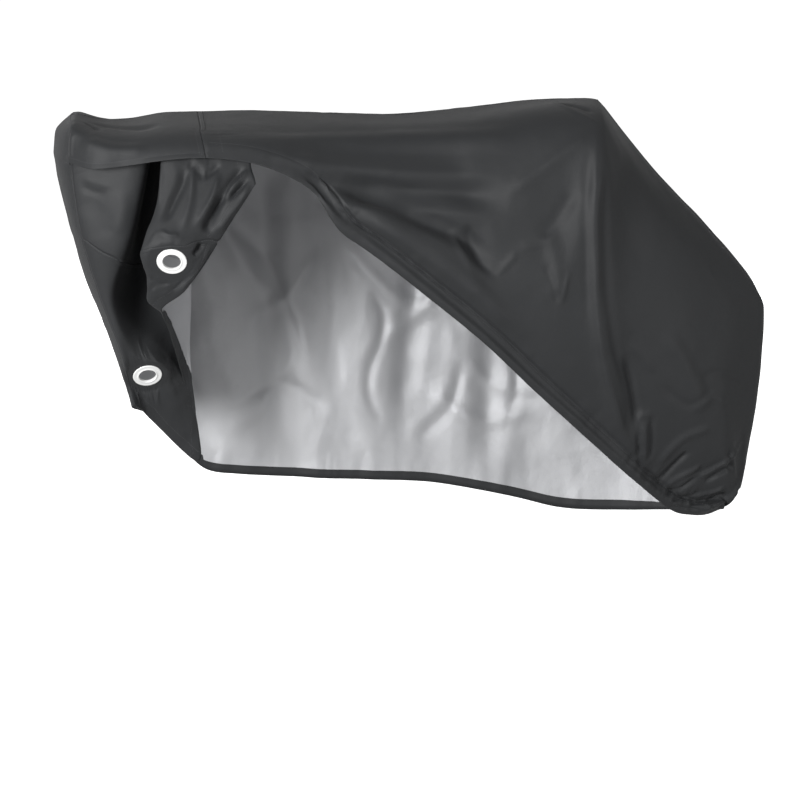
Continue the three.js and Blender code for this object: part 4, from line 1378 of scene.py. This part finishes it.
def spun_ring(name, ring):
    """One closed profile, spun about +Z, then turned onto the ring's axis."""
    front = [(r * MM, h * MM) for r, h in RING_PROFILE]
    barrel = [(BARREL_RADIUS * MM, BARREL_HALF * MM), (BARREL_RADIUS * MM, -BARREL_HALF * MM)]
    back = [(r, -h) for r, h in reversed(front)][:-1]
    outline = front + barrel + back
    edges = [(i, (i + 1) % len(outline)) for i in range(len(outline))]
    mesh = bpy.data.meshes.new(name)
    mesh.from_pydata([(r, 0, h) for r, h in outline], edges, [])
    made = added(mesh)
    with editing(made):
        bpy.ops.mesh.spin(steps=SPIN_STEPS, angle=2 * math.pi, center=(0, 0, 0), axis=(0, 0, 1))
        bpy.ops.mesh.select_all(action="SELECT")
        bpy.ops.mesh.remove_doubles(threshold=WELD)
        bpy.ops.mesh.normals_make_consistent(inside=False)
    turn = Vector((0, 0, 1)).rotation_difference(ring_axis(ring)).to_matrix().to_4x4()
    mesh.transform(Matrix.Translation(Vector(ring["centre"]) * MM) @ turn)
    mesh.materials.append(plastic)
    bpy.ops.object.shade_smooth_by_angle(angle=math.radians(40))
    return made


rings = {node: spun_ring(ring["name"], ring) for node, ring in RINGS.items()}
for node, ring in rings.items():
    print(ring.name, triangles_of(ring), "triangles")

# %% [markdown]
# The cover hangs over a plain white floor that shines a little itself, so no edge or
# shadow shows on it. The key is one large soft light from the front and left, at about the
# camera's height. A weak one fills from the right, and two without shine light the back.
# The surround is white to the camera and much weaker as a light.

# %% Floor, light and surround
FLOOR_LEVEL = -1.38
FLOOR_SIZE = 160
FLOOR_SHINE = 0.80
SURROUND_LIGHT = 0.34
bpy.ops.mesh.primitive_plane_add(size=FLOOR_SIZE, location=(0, 0, FLOOR_LEVEL))
floor = bpy.context.object
floor.name = "floor"
floor_finish = Finish(
    "studio_white", Roughness=1.0, Specular_IOR_Level=0.0, Emission_Strength=FLOOR_SHINE
)
floor_finish.shader.inputs["Base Color"].default_value = (0.8, 0.8, 0.8, 1)
floor_finish.shader.inputs["Emission Color"].default_value = (1, 1, 1, 1)
floor.data.materials.append(floor_finish.material)
floor.visible_diffuse = floor.visible_glossy = False

world = bpy.data.worlds.new("surround")
scene.world = world
world.use_nodes = True
surround = world.node_tree.nodes["Background"]
surround.inputs["Color"].default_value = (1, 1, 1, 1)
seen_by_camera = world.node_tree.nodes.new("ShaderNodeLightPath")
strength = world.node_tree.nodes.new("ShaderNodeMapRange")
strength.inputs["To Min"].default_value = SURROUND_LIGHT
strength.inputs["To Max"].default_value = 1.0
world.node_tree.links.new(seen_by_camera.outputs["Is Camera Ray"], strength.inputs["Value"])
world.node_tree.links.new(strength.outputs["Result"], surround.inputs["Strength"])


def soft_light(name, place, aim, size, power, shine=True):
    bpy.ops.object.light_add(type="AREA", location=place)
    light = bpy.context.object
    light.name = name
    light.data.shape = "RECTANGLE"
    light.data.size, light.data.size_y = size
    light.data.energy = power
    light.visible_glossy = shine
    light.rotation_euler = (Vector(aim) - Vector(place)).to_track_quat("-Z", "Y").to_euler()


soft_light("key", (-4.0, -4.7, 0.6), (-0.1, 0, -0.5), (2.0, 2.0), 400)
soft_light("fill", (4.4, -4.6, -0.6), (0.2, 0, -0.6), (2.4, 2.4), 90)
soft_light("back left", (-3.8, 5.2, 0.4), (0, 0, -0.6), (2.6, 2.6), 260, shine=False)
soft_light("back right", (4.0, 4.8, 0.2), (0.2, 0, -0.6), (2.2, 2.2), 130, shine=False)
scene.view_settings.view_transform = "Standard"

# %% [markdown]
# Last, each piece rides on the root body, and the frame's solid that it stands for is
# hidden. The seams and stitches of each piece ride on the root as well, and so do the rings,
# whose solids are hidden too. The floor is only the stage.

# %% Hang each piece on the root
for node, piece in panels.items():
    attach(piece, "root")
    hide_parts(node)
    sewn_on = [made[node] for made in (seam_pieces, stitch_pieces) if node in made]
    for sewn in sewn_on:
        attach(sewn, "root")
for node, ring in rings.items():
    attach(ring, "root")
    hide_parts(node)
